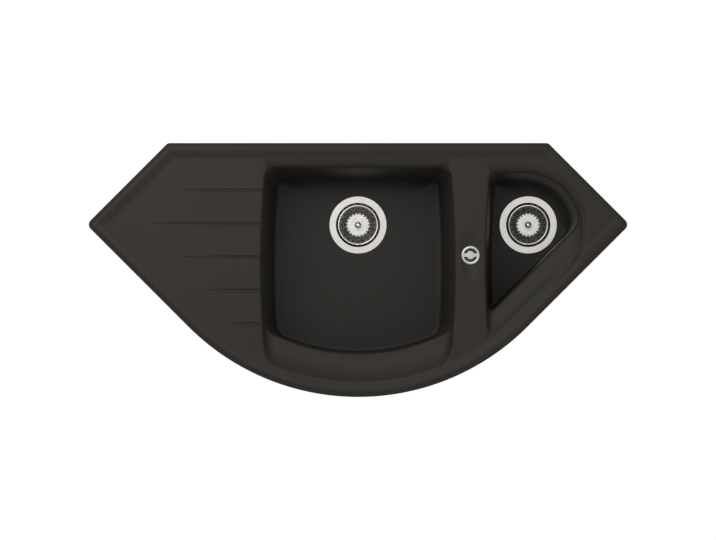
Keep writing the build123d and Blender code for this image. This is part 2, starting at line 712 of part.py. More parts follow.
screw_top_drop = cup_depth - screw_head_height
body_top_drop = floor + body_gasket_height
body_bottom_drop = body_top_drop + body_height
wide_pipe_radius, wide_pipe_wall, wide_socket, wide_insert = wide_pipe[:4]
for side, x, floor_z, outlet in wastes:
    axis = Axis((x, drain_y, 0), (0, 0, 1))
    upright = section_plane(x, drain_y, floor_z)
    flange_top = flange_gasket_height + sheet - flange_recess
    main = side == "main"

    with BuildPart() as flange_gasket:
        top = floor_z - flange_recess + flange_gasket_height
        washer(x, drain_y, top, flange_gasket_height, flange_radius, drain_hole_radius)
    flange_gasket.part.label = side + "_flange_gasket"
    export_step(flange_gasket.part, "parts/" + side + "_flange_gasket.step")

    with BuildPart() as strainer_cup:
        with BuildSketch(upright):
            with BuildLine():
                Polyline(
                    (flange_radius, flange_top), (cup_mouth, flange_top), (cup_wall_radius, -cup_wall_drop),
                    (seat_top_radius, -seat_top_drop), (seat_foot_radius, -seat_foot_drop),
                    (screw_head_radius, -cup_depth), (screw_radius + fit_gap, -cup_depth),
                    (screw_radius + fit_gap, -cup_depth - sheet),
                    (screw_head_radius, -cup_depth - sheet),
                    (seat_foot_radius + sheet, -seat_foot_drop - sheet),
                    (seat_top_radius + sheet, -seat_top_drop - sheet),
                    (cup_wall_radius + sheet, -cup_wall_drop - sheet / 2),
                    (cup_mouth + sheet, flange_top - sheet), (flange_radius, flange_top - sheet),
                    (flange_radius, flange_top),
                )
            make_face()
        revolve(axis=axis)
        with BuildSketch(Plane.XY.offset(floor_z - cup_wall_drop)):
            with Locations((x, drain_y)):
                with PolarLocations(cup_hole_ring, cup_hole_count):
                    Circle(cup_hole_radius)
        extrude(amount=-cup_depth, mode=Mode.SUBTRACT)
    strainer_cup.part.label = side + "_strainer_cup"
    export_step(strainer_cup.part, "parts/" + side + "_strainer_cup.step")

    with BuildPart() as body_gasket:
        washer(x, drain_y, floor_z - floor, body_gasket_height, body_flange_radius, drain_hole_radius)
    body_gasket.part.label = side + "_body_gasket"
    export_step(body_gasket.part, "parts/" + side + "_body_gasket.step")

    top = floor_z - body_top_drop
    bottom = floor_z - body_bottom_drop
    outlet_z = floor_z - outlet_drop
    along = (outlet, 0, 0)
    centre = (x, drain_y, outlet_z)
    boss_top = floor_z - cup_depth - sheet
    with BuildPart() as waste_body:
        washer(x, drain_y, top, body_flange_height, body_flange_radius)
        washer(x, drain_y, top, body_height, body_radius)
        rod(centre, along, outlet_reach, wide_socket)
        washer(x, drain_y, top, body_height - body_floor, drain_hole_radius, mode=Mode.SUBTRACT)
        rod(centre, along, outlet_reach, wide_pipe_radius - wide_pipe_wall, Mode.SUBTRACT)
        socket_start = moved(centre, along, outlet_reach - wide_insert)
        rod(socket_start, along, wide_insert, wide_pipe_radius + socket_gap, Mode.SUBTRACT)
        washer(x, drain_y, boss_top, boss_top - bottom, screw_boss_radius)
        bore_depth = boss_top - bottom - (0 if main else body_floor)
        washer(x, drain_y, boss_top, bore_depth, screw_radius + thread_gap, mode=Mode.SUBTRACT)
        if main:
            for hand in (-1, 1):
                screw_x = hand * lever_screw_from_drain
                washer(screw_x, drain_y, bottom + 2 * body_floor, body_floor, lever_boss_radius)
                washer(
                    screw_x, drain_y, bottom + small_screw_length, small_screw_length,
                    small_screw_radius + thread_gap, mode=Mode.SUBTRACT,
                )
    waste_body.part.label = side + "_waste_body"
    export_step(waste_body.part, "parts/" + side + "_waste_body.step")

    with BuildPart() as clamp_screw:
        head_top = floor_z - screw_top_drop
        washer(x, drain_y, head_top, screw_head_height, screw_head_radius)
        shank = body_bottom_drop - screw_top_drop + (screw_tail if main else -body_floor - screw_tail)
        washer(x, drain_y, head_top, shank, screw_radius)
        if main:
            washer(x, drain_y, head_top, shank, pin_radius + pin_gap, mode=Mode.SUBTRACT)
        with BuildSketch(Plane.XY.offset(head_top)):
            with Locations((x, drain_y)):
                Rectangle(2 * screw_head_radius, screw_slot)
        extrude(amount=-screw_slot / 2, mode=Mode.SUBTRACT)
    clamp_screw.part.label = side + "_clamp_screw"
    export_step(clamp_screw.part, "parts/" + side + "_clamp_screw.step")

    with BuildPart() as basket:
        with BuildSketch(upright):
            with BuildLine():
                lip_inside = lip_ring_radius - lip_wire / 2
                Polyline(
                    (lip_inside, -lip_drop), (basket_foot_radius, -basket_drop), (0, -basket_drop),
                    (0, -basket_drop - basket_sheet),
                    (basket_foot_radius + basket_sheet, -basket_drop - basket_sheet),
                    (lip_inside + basket_sheet, -lip_drop), (lip_inside, -lip_drop),
                )
            make_face()
            with Locations((lip_ring_radius, -lip_drop)):
                Circle(lip_wire)
        revolve(axis=axis)
        with BuildSketch(Plane.XY.offset(floor_z)):
            with Locations((x, drain_y)):
                for row in range(len(basket_hole_rows)):
                    turn = row * 180.0 / basket_hole_count
                    with PolarLocations(basket_hole_rows[row], basket_hole_count, start_angle=turn):
                        Circle(basket_hole_radius)
        extrude(amount=-cup_depth, mode=Mode.SUBTRACT)
    basket.part.label = side + "_basket"
    export_step(basket.part, "parts/" + side + "_basket.step")

    seal_top = basket_drop + basket_sheet
    with BuildPart() as basket_seal:
        with BuildSketch(upright):
            with BuildLine():
                Polyline(
                    (0, -seal_top), (seat_radius_at(seal_top) - seat_gap, -seal_top),
                    (seat_radius_at(seal_top + seal_height) - seat_gap, -seal_top - seal_height),
                    (0, -seal_top - seal_height), (0, -seal_top),
                )
            make_face()
        revolve(axis=axis)
    basket_seal.part.label = side + "_basket_seal"
    export_step(basket_seal.part, "parts/" + side + "_basket_seal.step")

    with BuildPart() as basket_stem:
        stem_length = basket_drop - knob_height / 2
        washer(x, drain_y, floor_z - basket_drop + stem_length, stem_length, stem_radius)
    basket_stem.part.label = side + "_basket_stem"
    export_step(basket_stem.part, "parts/" + side + "_basket_stem.step")

    with BuildPart() as basket_knob:
        with BuildSketch(upright):
            with BuildLine():
                neck = stem_radius + fit_gap
                shoulder = (neck + knob_foot_ring, knob_foot_ring - knob_height)
                ThreePointArc((0, 0), (knob_radius, -knob_height / 2), shoulder)
                Polyline(
                    shoulder, (neck, -knob_height), (neck, -knob_height / 2), (0, -knob_height / 2),
                    (0, 0),
                )
            make_face()
        revolve(axis=axis)
    basket_knob.part.label = side + "_basket_knob"
    export_step(basket_knob.part, "parts/" + side + "_basket_knob.step")

# ---------------------------------------------------------------- lever that lifts the main strainer
half_swing = degrees(asin(lift / 2 / lever_arm))
wire_arm = crank_pin_radius / diagonal / sin(radians(half_swing))
axle_y = drain_y + lever_arm
axle_z = main_floor_z - lever_drop
waste_bottom = main_floor_z - body_bottom_drop
pin_foot_z = axle_z - lift / 2 + lever_tip_radius + seat_gap

with BuildPart() as lifter_pin:
    washer(0, drain_y, main_floor_z - pin_top_drop, main_floor_z - pin_top_drop - pin_foot_z, pin_radius)
    washer(0, drain_y, pin_foot_z + pin_foot_height, pin_foot_height, pin_foot_radius)
lifter_pin.part.label = "lifter_pin"
export_step(lifter_pin.part, "parts/lifter_pin.step")

with BuildPart() as lift_lever:
    with BuildSketch(Plane(origin=(-lever_width / 2, axle_y, axle_z), x_dir=(0, 1, 0), z_dir=(1, 0, 0))):
        Circle(lever_eye_radius)
        with Locations(Location((0, 0, 0), (0, 0, half_swing))):
            with Locations((-lever_arm / 2, 0)):
                Rectangle(lever_arm, lever_width)
            with Locations((-lever_arm, 0)):
                Circle(lever_tip_radius)
            with Locations((0, -wire_arm / 2)):
                Rectangle(lever_width, wire_arm)
            with Locations((0, -wire_arm)):
                Circle(lever_tip_radius)
                Circle(2 * wire_radius, mode=Mode.SUBTRACT)
        Circle(axle_radius + running_gap, mode=Mode.SUBTRACT)
    extrude(amount=lever_width)
lift_lever.part.label = "lift_lever"
export_step(lift_lever.part, "parts/lift_lever.step")

lever_half_room = lever_room / 2
lever_inner_bottom = axle_z - wire_arm - lever_tip_radius - lever_floor_gap
lever_back = axle_y + lever_margin
lever_front = drain_y - lever_margin
cable_low_z = axle_z - wire_arm * cos(radians(half_swing))
with BuildPart() as lever_axle:
    axle_length = lever_room + 2 * lever_wall + 2 * axle_tail
    rod((-axle_length / 2, axle_y, axle_z), (1, 0, 0), axle_length, axle_radius)
lever_axle.part.label = "lever_axle"
export_step(lever_axle.part, "parts/lever_axle.step")

with BuildPart() as lever_housing:
    middle = (lever_back + lever_front) / 2
    length = lever_back - lever_front
    with BuildSketch(Plane.XY.offset(waste_bottom)):
        with Locations((0, middle)):
            RectangleRounded(lever_room + 2 * lever_wall, length + 2 * lever_wall, lever_wall)
    extrude(amount=-(waste_bottom - lever_inner_bottom + lever_wall))
    with BuildSketch(Plane.XY.offset(waste_bottom)):
        with Locations((0, drain_y)):
            RectangleRounded(
                2 * (lever_screw_from_drain + lever_ear / 2), lever_ear, lever_ear / 2 - running_gap
            )
    extrude(amount=-lever_ear_height)
    rod((0, lever_front, cable_low_z), (0, -1, 0), 2 * lever_wall, ferrule_radius)
    with BuildSketch(Plane.XY.offset(waste_bottom)):
        with Locations((0, middle)):
            Rectangle(lever_room, length)
    extrude(amount=-(waste_bottom - lever_inner_bottom), mode=Mode.SUBTRACT)
    for hand in (-1, 1):
        boss = lever_half_room - lever_width / 2 - lever_side_gap
        rod((hand * lever_half_room, axle_y, axle_z), (-hand, 0, 0), boss, lever_boss_radius)
        washer(
            hand * lever_screw_from_drain, drain_y, waste_bottom, lever_ear_height,
            small_screw_radius + fit_gap, mode=Mode.SUBTRACT,
        )
    bore_start = (-lever_room, axle_y, axle_z)
    rod(bore_start, (1, 0, 0), 2 * lever_room, axle_radius + running_gap, Mode.SUBTRACT)
    wire_start = (0, lever_front + lever_wall / 2, cable_low_z)
    rod(wire_start, (0, -1, 0), 3 * lever_wall, wire_radius, Mode.SUBTRACT)
lever_housing.part.label = "lever_housing"
export_step(lever_housing.part, "parts/lever_housing.step")

with BuildPart() as lever_housing_screws:
    for hand in (-1, 1):
        screw_x = hand * lever_screw_from_drain
        screw_z = waste_bottom - lever_ear_height
        screw_end = small_screw_length - screw_end_gap
        washer(screw_x, drain_y, screw_z, small_screw_head_height, small_screw_head)
        washer(
            screw_x, drain_y, waste_bottom + screw_end, lever_ear_height + screw_end,
            small_screw_radius,
        )
lever_housing_screws.part.label = "lever_housing_screws"
export_step(lever_housing_screws.part, "parts/lever_housing_screws.step")

# ---------------------------------------------------------------- rotary control and overflow
control_axis = Axis((control_x, control_y, 0), (0, 0, 1))
base_top = -seat_drop + base_gasket_height
knob_foot = base_top + base_flange_height + knob_gap
spindle_top = knob_foot + bridge_foot - spindle_end_gap
spindle_bore = spindle_radius + running_gap
with BuildPart() as control_knob:
    with BuildSketch(Plane.XY.offset(knob_foot)):
        with Locations((control_x, control_y)):
            Circle(ring_radius)
            Circle(ring_bore, mode=Mode.SUBTRACT)
    extrude(amount=ring_height)
    fillet(control_knob.edges().group_by(Axis.Z)[-1], ring_round)
    with BuildSketch(Plane.XY.offset(knob_foot + bridge_foot)):
        with Locations((control_x, control_y)):
            Circle(bridge_radius)
            Rectangle(2 * ring_bore + ring_round, 2 * bridge_radius * sin(radians(bridge_half_angle)))
    extrude(amount=bridge_height - ring_round - bridge_foot)
    with BuildSketch(Plane.XY.offset(knob_foot + bridge_foot)):
        with Locations((control_x, control_y)):
            Circle(bridge_radius)
    extrude(amount=bridge_height - bridge_foot)
    fillet(control_knob.edges().group_by(Axis.Z)[-1], bridge_round)
    washer(control_x, control_y, knob_foot + bridge_foot, knob_hub_drop + bridge_foot, knob_hub_radius)
    washer(control_x, control_y, spindle_top, 2 * knob_hub_drop, spindle_bore, mode=Mode.SUBTRACT)
control_knob.part.label = "control_knob"
export_step(control_knob.part, "parts/control_knob.step")

with BuildPart() as control_spindle:
    washer(control_x, control_y, spindle_top, spindle_length + spindle_top, spindle_radius)
control_spindle.part.label = "control_spindle"
export_step(control_spindle.part, "parts/control_spindle.step")

with BuildPart() as control_gasket:
    washer(
        control_x, control_y, base_top, base_gasket_height, base_flange_radius,
        base_tube_radius + fit_gap,
    )
control_gasket.part.label = "control_gasket"
export_step(control_gasket.part, "parts/control_gasket.step")

with BuildPart() as control_base:
    washer(control_x, control_y, base_top + base_flange_height, base_flange_height, base_flange_radius)
    washer(control_x, control_y, base_top, base_length + base_top, base_tube_radius)
    washer(control_x, control_y, 0, base_length, base_bore, mode=Mode.SUBTRACT)
    washer(control_x, control_y, 0, base_step_drop, base_mouth, mode=Mode.SUBTRACT)
    washer(control_x, control_y, -spider_drop, spider_hub_height, spider_hub_radius)
    for angle in (0, 120, 240):
        outward = (cos(radians(angle)), sin(radians(angle)), 0)
        hub_top = (control_x, control_y, -spider_drop)
        with BuildSketch(Plane(origin=hub_top, x_dir=outward, z_dir=(0, 0, 1))):
            with Locations(((base_bore + base_tube_radius) / 4, 0)):
                Rectangle((base_bore + base_tube_radius) / 2, spoke_width)
        extrude(amount=-spider_hub_height)
    washer(control_x, control_y, 0, base_length, spindle_bore, mode=Mode.SUBTRACT)
control_base.part.label = "control_base"
export_step(control_base.part, "parts/control_base.step")

with BuildPart() as overflow_grille:
    washer(
        control_x, control_y, grille_height - base_step_drop, grille_height, base_mouth - fit_gap,
        knob_hub_radius + 2 * fit_gap,
    )
    with BuildSketch(Plane.XY.offset(-base_step_drop)):
        for ring, count in grille_rings:
            with Locations((control_x, control_y)):
                with PolarLocations(ring, count):
                    Circle(grille_hole_radius)
    extrude(amount=grille_height, mode=Mode.SUBTRACT)
overflow_grille.part.label = "overflow_grille"
export_step(overflow_grille.part, "parts/overflow_grille.step")

with BuildPart() as housing_gasket:
    washer(
        control_x, control_y, -control_boss_drop, housing_gasket_height, control_boss_radius,
        control_hole_radius,
    )
housing_gasket.part.label = "housing_gasket"
export_step(housing_gasket.part, "parts/housing_gasket.step")

housing_top = -control_boss_drop - housing_gasket_height
thin_pipe_radius, thin_pipe_wall, thin_socket, thin_insert = thin_pipe[:4]
overflow_end = (control_x, control_y + overflow_reach, -overflow_drop)
screw_turns = (30, 150, 270)
with BuildPart() as overflow_housing:
    washer(control_x, control_y, housing_top, housing_bottom + housing_top, housing_radius)
    rod((control_x, control_y, -overflow_drop), (0, 1, 0), overflow_reach, thin_socket)
    chamber = housing_bottom - housing_floor - base_length
    washer(control_x, control_y, -base_length, chamber, housing_bore, mode=Mode.SUBTRACT)
    washer(control_x, control_y, housing_top, base_length, base_tube_radius + fit_gap, mode=Mode.SUBTRACT)
    washer(control_x, control_y, -base_length, housing_bottom, spindle_bore, mode=Mode.SUBTRACT)
    bore_start = (control_x, control_y + base_bore, -overflow_drop)
    rod(bore_start, (0, 1, 0), overflow_reach, thin_pipe_radius - thin_pipe_wall, Mode.SUBTRACT)
    rod(overflow_end, (0, -1, 0), thin_insert, thin_pipe_radius + thin_socket_gap, Mode.SUBTRACT)
    with BuildSketch(Plane.XY.offset(-housing_bottom)):
        with Locations((control_x, control_y)):
            with PolarLocations(cover_screw_ring, len(screw_turns), start_angle=screw_turns[0]):
                Circle(small_screw_radius + thread_gap)
    extrude(amount=housing_floor - screw_end_gap, mode=Mode.SUBTRACT)
overflow_housing.part.label = "overflow_housing"
export_step(overflow_housing.part, "parts/overflow_housing.step")

with BuildPart() as cable_crank:
    crank_top = -crank_drop + crank_height / 2
    washer(control_x, control_y, crank_top, crank_height, crank_radius, spindle_bore)
    wire_place = crank_pin_radius / diagonal + wire_hole_offset
    with BuildSketch(Plane.XY.offset(crank_top)):
        with Locations((control_x, control_y)):
            with Locations((-wire_place, wire_place)):
                Circle(wire_radius)
    extrude(amount=-crank_height, mode=Mode.SUBTRACT)
cable_crank.part.label = "cable_crank"
export_step(cable_crank.part, "parts/cable_crank.step")

cable_x = control_x - crank_pin_radius
cover_face_y = control_y - cover_boss_reach
with BuildPart() as crank_cover:
    washer(control_x, control_y, -housing_bottom, cover_wall, housing_radius)
    washer(control_x, control_y, -housing_bottom, cover_height, cover_radius)
    boss_start = (cable_x, control_y - cover_radius + 2 * cover_wall, -crank_drop)
    rod(boss_start, (0, -1, 0), cover_boss_reach - cover_radius + 2 * cover_wall, ferrule_radius)
    washer(
        control_x, control_y, -housing_bottom, cover_height - cover_wall, cover_radius - cover_wall,
        mode=Mode.SUBTRACT,
    )
    rod((cable_x, control_y, -crank_drop), (0, -1, 0), 2 * cover_boss_reach, wire_radius, Mode.SUBTRACT)
    with BuildSketch(Plane.XY.offset(-housing_bottom)):
        with Locations((control_x, control_y)):
            with PolarLocations(cover_screw_ring, len(screw_turns), start_angle=screw_turns[0]):
                Circle(small_screw_radius + fit_gap)
    extrude(amount=-cover_wall, mode=Mode.SUBTRACT)
crank_cover.part.label = "crank_cover"
export_step(crank_cover.part, "parts/crank_cover.step")

with BuildPart() as crank_cover_screws:
    for turn in screw_turns:
        screw_x = control_x + cover_screw_ring * cos(radians(turn))
        screw_y = control_y + cover_screw_ring * sin(radians(turn))
        head_top = -housing_bottom - cover_wall
        washer(screw_x, screw_y, head_top, small_screw_head_height, small_screw_head)
        washer(
            screw_x, screw_y, head_top + small_screw_length, small_screw_length, small_screw_radius
        )
crank_cover_screws.part.label = "crank_cover_screws"
export_step(crank_cover_screws.part, "parts/crank_cover_screws.step")

# ---------------------------------------------------------------- release cable
lever_face_y = lever_front - 2 * lever_wall
cable_points = [
    (cable_x, cover_face_y, -crank_drop),
    (cable_x, -278, -70),
    (cable_x - 4, -312, -118),
    (cable_x - 19, -320, -178),
    (cable_x - 57, -312, -236),
    (108, -300, -272),
    (60, -284, -286),
    (20, -256, -287),
    (0, -212, cable_low_z),
    (0, lever_face_y, cable_low_z),
]


def cable_route(points):
    """Straight runs joined by arcs as large as the shorter run beside each point allows."""
    points = [Vector(*p) for p in points]
    start = points[0]
    smallest = sink_width
    with BuildLine() as route:
        for before, here, after in zip(points, points[1:], points[2:]):
            into = (here - before).normalized()
            out = (after - here).normalized()
            tangent = bend_share * min((here - before).length, (after - here).length)
            turn = into.get_angle(out)
            smallest = min(smallest, tangent / tan(radians(turn) / 2))
            Line(start, here - into * tangent)
            TangentArc(here - into * tangent, here + out * tangent, tangent=into)
            start = here + out * tangent
        Line(start, points[-1])
    length = sum(edge.length for edge in route.edges())
    print("cable length", round(length, 1), "smallest radius", round(smallest, 1))
    return route.line


with BuildPart() as release_cable:
    with BuildLine():
        add(cable_route(cable_points))
    with BuildSketch(Plane(origin=cable_points[0], z_dir=(0, -1, 0))):
        Circle(cable_radius)
    sweep()
release_cable.part.label = "release_cable"
export_step(release_cable.part, "parts/release_cable.step")

with BuildPart() as cable_ferrules:
    for end, along in ((cable_points[0], (0, -1, 0)), (cable_points[-1], (0, -1, 0))):
        with BuildSketch(Plane(origin=end, z_dir=along)):
            Circle(ferrule_radius)
            Circle(cable_radius + running_gap, mode=Mode.SUBTRACT)
        extrude(amount=ferrule_length)
cable_ferrules.part.label = "cable_ferrules"
export_step(cable_ferrules.part, "parts/cable_ferrules.step")

# ---------------------------------------------------------------- pipes
main_outlet_z = main_floor_z - outlet_drop
small_outlet_z = small_floor_z - outlet_drop
wide_bore = wide_pipe_radius - wide_pipe_wall
main_outlet_end = (outlet_reach, drain_y, main_outlet_z)
small_outlet_end = (small_drain_x - outlet_reach, drain_y, small_outlet_z)
tee_start = (outlet_reach - wide_insert + pipe_end_gap, drain_y, main_outlet_z)
tee_centre = (tee_from_drain, drain_y, main_outlet_z)
tee_right = (tee_from_drain + wide_socket + wide_pipe[7] + tee_neck, drain_y, main_outlet_z)
tee_shoulder = (tee_right[0] - wide_insert, drain_y, main_outlet_z)
tee_outlet = (tee_from_drain, drain_y, main_outlet_z - tee_drop)
with BuildPart() as drain_tee:
    rod(tee_start, (1, 0, 0), tee_from_drain - tee_start[0], wide_pipe_radius)
    tee_left = moved(tee_centre, (-1, 0, 0), wide_socket)
    rod(tee_left, (1, 0, 0), tee_right[0] - tee_left[0], wide_socket)
    rod(tee_centre, (0, 0, -1), tee_drop, wide_socket)
    rod(tee_start, (1, 0, 0), tee_right[0] - tee_start[0], wide_bore, Mode.SUBTRACT)
    rod(tee_centre, (0, 0, -1), tee_drop, wide_bore, Mode.SUBTRACT)
    rod(tee_shoulder, (1, 0, 0), wide_insert, wide_pipe_radius + socket_gap, Mode.SUBTRACT)
    rod(tee_outlet, (0, 0, 1), wide_insert, wide_pipe_radius + socket_gap, Mode.SUBTRACT)
drain_tee.part.label = "drain_tee"
export_step(drain_tee.part, "parts/drain_tee.step")

branch_tangent = branch_bend * tan(radians(branch_slope) / 2)
low_corner_x = tee_right[0] + wide_pipe[5] + wide_pipe[6] + branch_tangent + branch_neck
high_corner_x = low_corner_x + (small_outlet_z - main_outlet_z) / tan(radians(branch_slope))
branch_points = [
    (small_outlet_end[0] + wide_insert - pipe_end_gap, drain_y, small_outlet_z),
    (high_corner_x, drain_y, small_outlet_z),
    (low_corner_x, drain_y, main_outlet_z),
    (tee_shoulder[0] + pipe_end_gap, drain_y, main_outlet_z),
]
nipple_end = (control_x, drain_y, small_outlet_z + nipple_top)
with BuildPart() as branch_pipe:
    for radius, mode in ((wide_pipe_radius, Mode.ADD), (wide_bore, Mode.SUBTRACT)):
        if mode == Mode.SUBTRACT:
            rod(nipple_end, (0, 0, -1), nipple_top, thin_socket)
        with BuildLine():
            FilletPolyline(*branch_points, radius=branch_bend)
        with BuildSketch(Plane(origin=branch_points[0], z_dir=(-1, 0, 0))):
            Circle(radius)
        sweep(mode=mode)
    rod(nipple_end, (0, 0, -1), nipple_top, thin_pipe_radius - thin_pipe_wall, Mode.SUBTRACT)
    rod(nipple_end, (0, 0, -1), thin_insert, thin_pipe_radius + thin_socket_gap, Mode.SUBTRACT)
branch_pipe.part.label = "branch_pipe"
export_step(branch_pipe.part, "parts/branch_pipe.step")

overflow_points = [
    (control_x, overflow_end[1] - thin_insert + pipe_end_gap, -overflow_drop),
    (control_x, drain_y, -overflow_drop),
    (control_x, drain_y, nipple_end[2] - thin_insert + pipe_end_gap),
]
with BuildPart() as overflow_pipe:
    with BuildLine():
        FilletPolyline(*overflow_points, radius=overflow_bend)
    with BuildSketch(Plane(origin=overflow_points[0], z_dir=(0, 1, 0))):
        Circle(thin_pipe_radius)
        Circle(thin_pipe_radius - thin_pipe_wall, mode=Mode.SUBTRACT)
    sweep()
overflow_pipe.part.label = "overflow_pipe"
export_step(overflow_pipe.part, "parts/overflow_pipe.step")

union("main_outlet", main_outlet_end, (1, 0, 0), wide_pipe)
union("branch_small", small_outlet_end, (-1, 0, 0), wide_pipe)
union("branch_tee", tee_right, (1, 0, 0), wide_pipe)
union("overflow_top", overflow_end, (0, 1, 0), thin_pipe)
union("overflow_bottom", nipple_end, (0, 0, 1), thin_pipe)
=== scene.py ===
import bpy, json, math
import numpy as np
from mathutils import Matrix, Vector, geometry


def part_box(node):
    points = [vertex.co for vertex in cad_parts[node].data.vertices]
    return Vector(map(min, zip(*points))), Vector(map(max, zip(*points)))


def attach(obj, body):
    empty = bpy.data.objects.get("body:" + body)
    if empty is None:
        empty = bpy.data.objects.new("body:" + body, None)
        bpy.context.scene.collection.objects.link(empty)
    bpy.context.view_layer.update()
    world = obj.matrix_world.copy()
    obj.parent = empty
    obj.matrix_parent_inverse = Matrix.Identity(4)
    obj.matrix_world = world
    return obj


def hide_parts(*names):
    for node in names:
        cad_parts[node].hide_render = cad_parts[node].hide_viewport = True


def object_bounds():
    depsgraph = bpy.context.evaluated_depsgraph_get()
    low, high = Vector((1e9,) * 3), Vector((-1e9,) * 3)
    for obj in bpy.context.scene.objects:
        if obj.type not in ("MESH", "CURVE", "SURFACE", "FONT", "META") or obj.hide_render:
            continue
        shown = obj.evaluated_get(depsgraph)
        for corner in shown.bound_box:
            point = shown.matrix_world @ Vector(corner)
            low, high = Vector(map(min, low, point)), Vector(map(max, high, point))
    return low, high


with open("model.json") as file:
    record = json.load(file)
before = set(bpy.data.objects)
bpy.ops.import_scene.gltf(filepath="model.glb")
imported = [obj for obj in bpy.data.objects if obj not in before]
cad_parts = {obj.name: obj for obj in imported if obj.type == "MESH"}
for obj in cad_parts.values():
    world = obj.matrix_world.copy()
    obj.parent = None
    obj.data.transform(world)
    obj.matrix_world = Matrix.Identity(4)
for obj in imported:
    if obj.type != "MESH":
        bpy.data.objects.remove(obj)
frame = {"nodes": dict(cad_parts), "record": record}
cadLow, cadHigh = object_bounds()
nodes = frame["nodes"]
scene = bpy.context.scene
print("frame loaded", len(nodes), "nodes")


# a shader socket that does sums, so that a mask can be written as a plain expression
class Wire:
    def __init__(self, tree, socket):
        self.tree = tree
        self.socket = socket

    def sum(self, operation, first, second):
        node = self.tree.nodes.new("ShaderNodeMath")
        node.operation = operation
        plug(self.tree, node.inputs[0], first)
        plug(self.tree, node.inputs[1], second)
        return Wire(self.tree, node.outputs[0])

    def __add__(self, other):
        return self.sum("ADD", self, other)

    def __radd__(self, other):
        return self.sum("ADD", other, self)

    def __sub__(self, other):
        return self.sum("SUBTRACT", self, other)

    def __rsub__(self, other):
        return self.sum("SUBTRACT", other, self)

    def __mul__(self, other):
        return self.sum("MULTIPLY", self, other)

    def __rmul__(self, other):
        return self.sum("MULTIPLY", other, self)

    def __gt__(self, other):
        return self.sum("GREATER_THAN", self, other)

    def __lt__(self, other):
        return self.sum("LESS_THAN", self, other)


def plug(tree, socket, value):
    if isinstance(value, Wire):
        tree.links.new(value.socket, socket)
    elif isinstance(value, tuple) and socket.type == "RGBA":
        socket.default_value = (*value, 1.0)
    else:
        socket.default_value = value


class Nodes:
    def __init__(self, tree):
        self.tree = tree

    def add(self, kind, settings=None, sockets=None, output=0):
        node = self.tree.nodes.new("ShaderNode" + kind)
        for name, value in (settings or {}).items():
            setattr(node, name, value)
        for name, value in (sockets or {}).items():
            plug(self.tree, node.inputs[name], value)
        return Wire(self.tree, node.outputs[output])

    # one on what the camera, a mirror or a glass sees directly
    def seenDirectly(self):
        seen = self.add("LightPath", output="Is Camera Ray") + self.add("LightPath", output="Is Glossy Ray")
        return seen + self.add("LightPath", output="Is Transmission Ray")


# a material and its node tree
class Finish(Nodes):
    socketNames = {"baseColour": "Base Color", "roughness": "Roughness", "metal": "Metallic",
                   "specular": "Specular IOR Level", "normal": "Normal"}

    def __init__(self, name):
        self.material = bpy.data.materials.new(name)
        self.material.use_nodes = True
        super().__init__(self.material.node_tree)
        self.shader = self.tree.nodes["Principled BSDF"]
        self.place = self.add("TexCoord", output="Object")

    def set(self, **sockets):
        for name, value in sockets.items():
            plug(self.tree, self.shader.inputs[self.socketNames[name]], value)
        return self.material

    def noise(self, scale, detail=2.0, rough=0.5):
        sockets = {"Vector": self.place, "Scale": scale, "Detail": detail, "Roughness": rough}
        return self.add("TexNoise", None, sockets, "Fac")

    # distance from the middle of the nearest grain
    def cells(self, scale):
        return self.add("TexVoronoi", None, {"Vector": self.place, "Scale": scale}, "Distance")

    def between(self, factor, low, high):
        return self.add("Mix", {"data_type": "RGBA"}, {0: factor, 6: low, 7: high}, 2)

    def bump(self, height, relief):
        distance, strength = relief
        return self.add("Bump", None, {"Height": height, "Distance": distance, "Strength": strength}, "Normal")

    # the way here from an upright axis through x, y
    def fromAxis(self, x, y):
        return self.add("VectorMath", {"operation": "SUBTRACT"}, {0: self.place, 1: (x, y, 0.0)})

    def radius(self, x, y):
        flat = self.add("VectorMath", {"operation": "MULTIPLY"}, {0: self.fromAxis(x, y), 1: (1.0, 1.0, 0.0)})
        return self.add("VectorMath", {"operation": "LENGTH"}, {0: flat}, "Value")


def shaded(colour, share):
    return tuple(part * share for part in colour)


# near-black brown stone grain with a few paler flecks
composite = {"dark": (0.0170, 0.0145, 0.0122), "pale": (0.0240, 0.0208, 0.0177), "fleck": (0.06, 0.056, 0.050),
             "grain": 520.0, "grainShare": 0.7, "cloud": 9.0, "fleckScale": 700.0, "fleckSize": 0.16,
             "patches": 330.0, "patchLevel": 0.56, "fleckShare": 0.6, "roughness": 0.5, "swing": 0.16,
             "specular": 0.14, "relief": (0.00012, 0.35)}


def mineralComposite():
    c = composite
    finish = Finish("mineralComposite")
    grain = finish.noise(c["grain"], 3.0, 0.6)
    cloud = finish.noise(c["cloud"], 3.0)
    colour = finish.between(grain * c["grainShare"] + cloud * (1 - c["grainShare"]), c["dark"], c["pale"])
    fleck = (finish.cells(c["fleckScale"]) < c["fleckSize"]) * (finish.noise(c["patches"], 1.0) > c["patchLevel"])
    colour = finish.between(fleck * c["fleckShare"], colour, c["fleck"])
    return finish.set(baseColour=colour, roughness=c["roughness"] + (grain - 0.5) * c["swing"],
                      specular=c["specular"], normal=finish.bump(grain, c["relief"]))


# steel turned on one axis: fine rings in the gloss
turned = {"rings": 2600.0, "ringShare": 0.5, "ringSwing": 0.18, "smudges": 60.0, "smudgeShare": 0.3,
          "smudgeSwing": 0.06, "dark": 0.86, "relief": (0.00002, 0.5)}


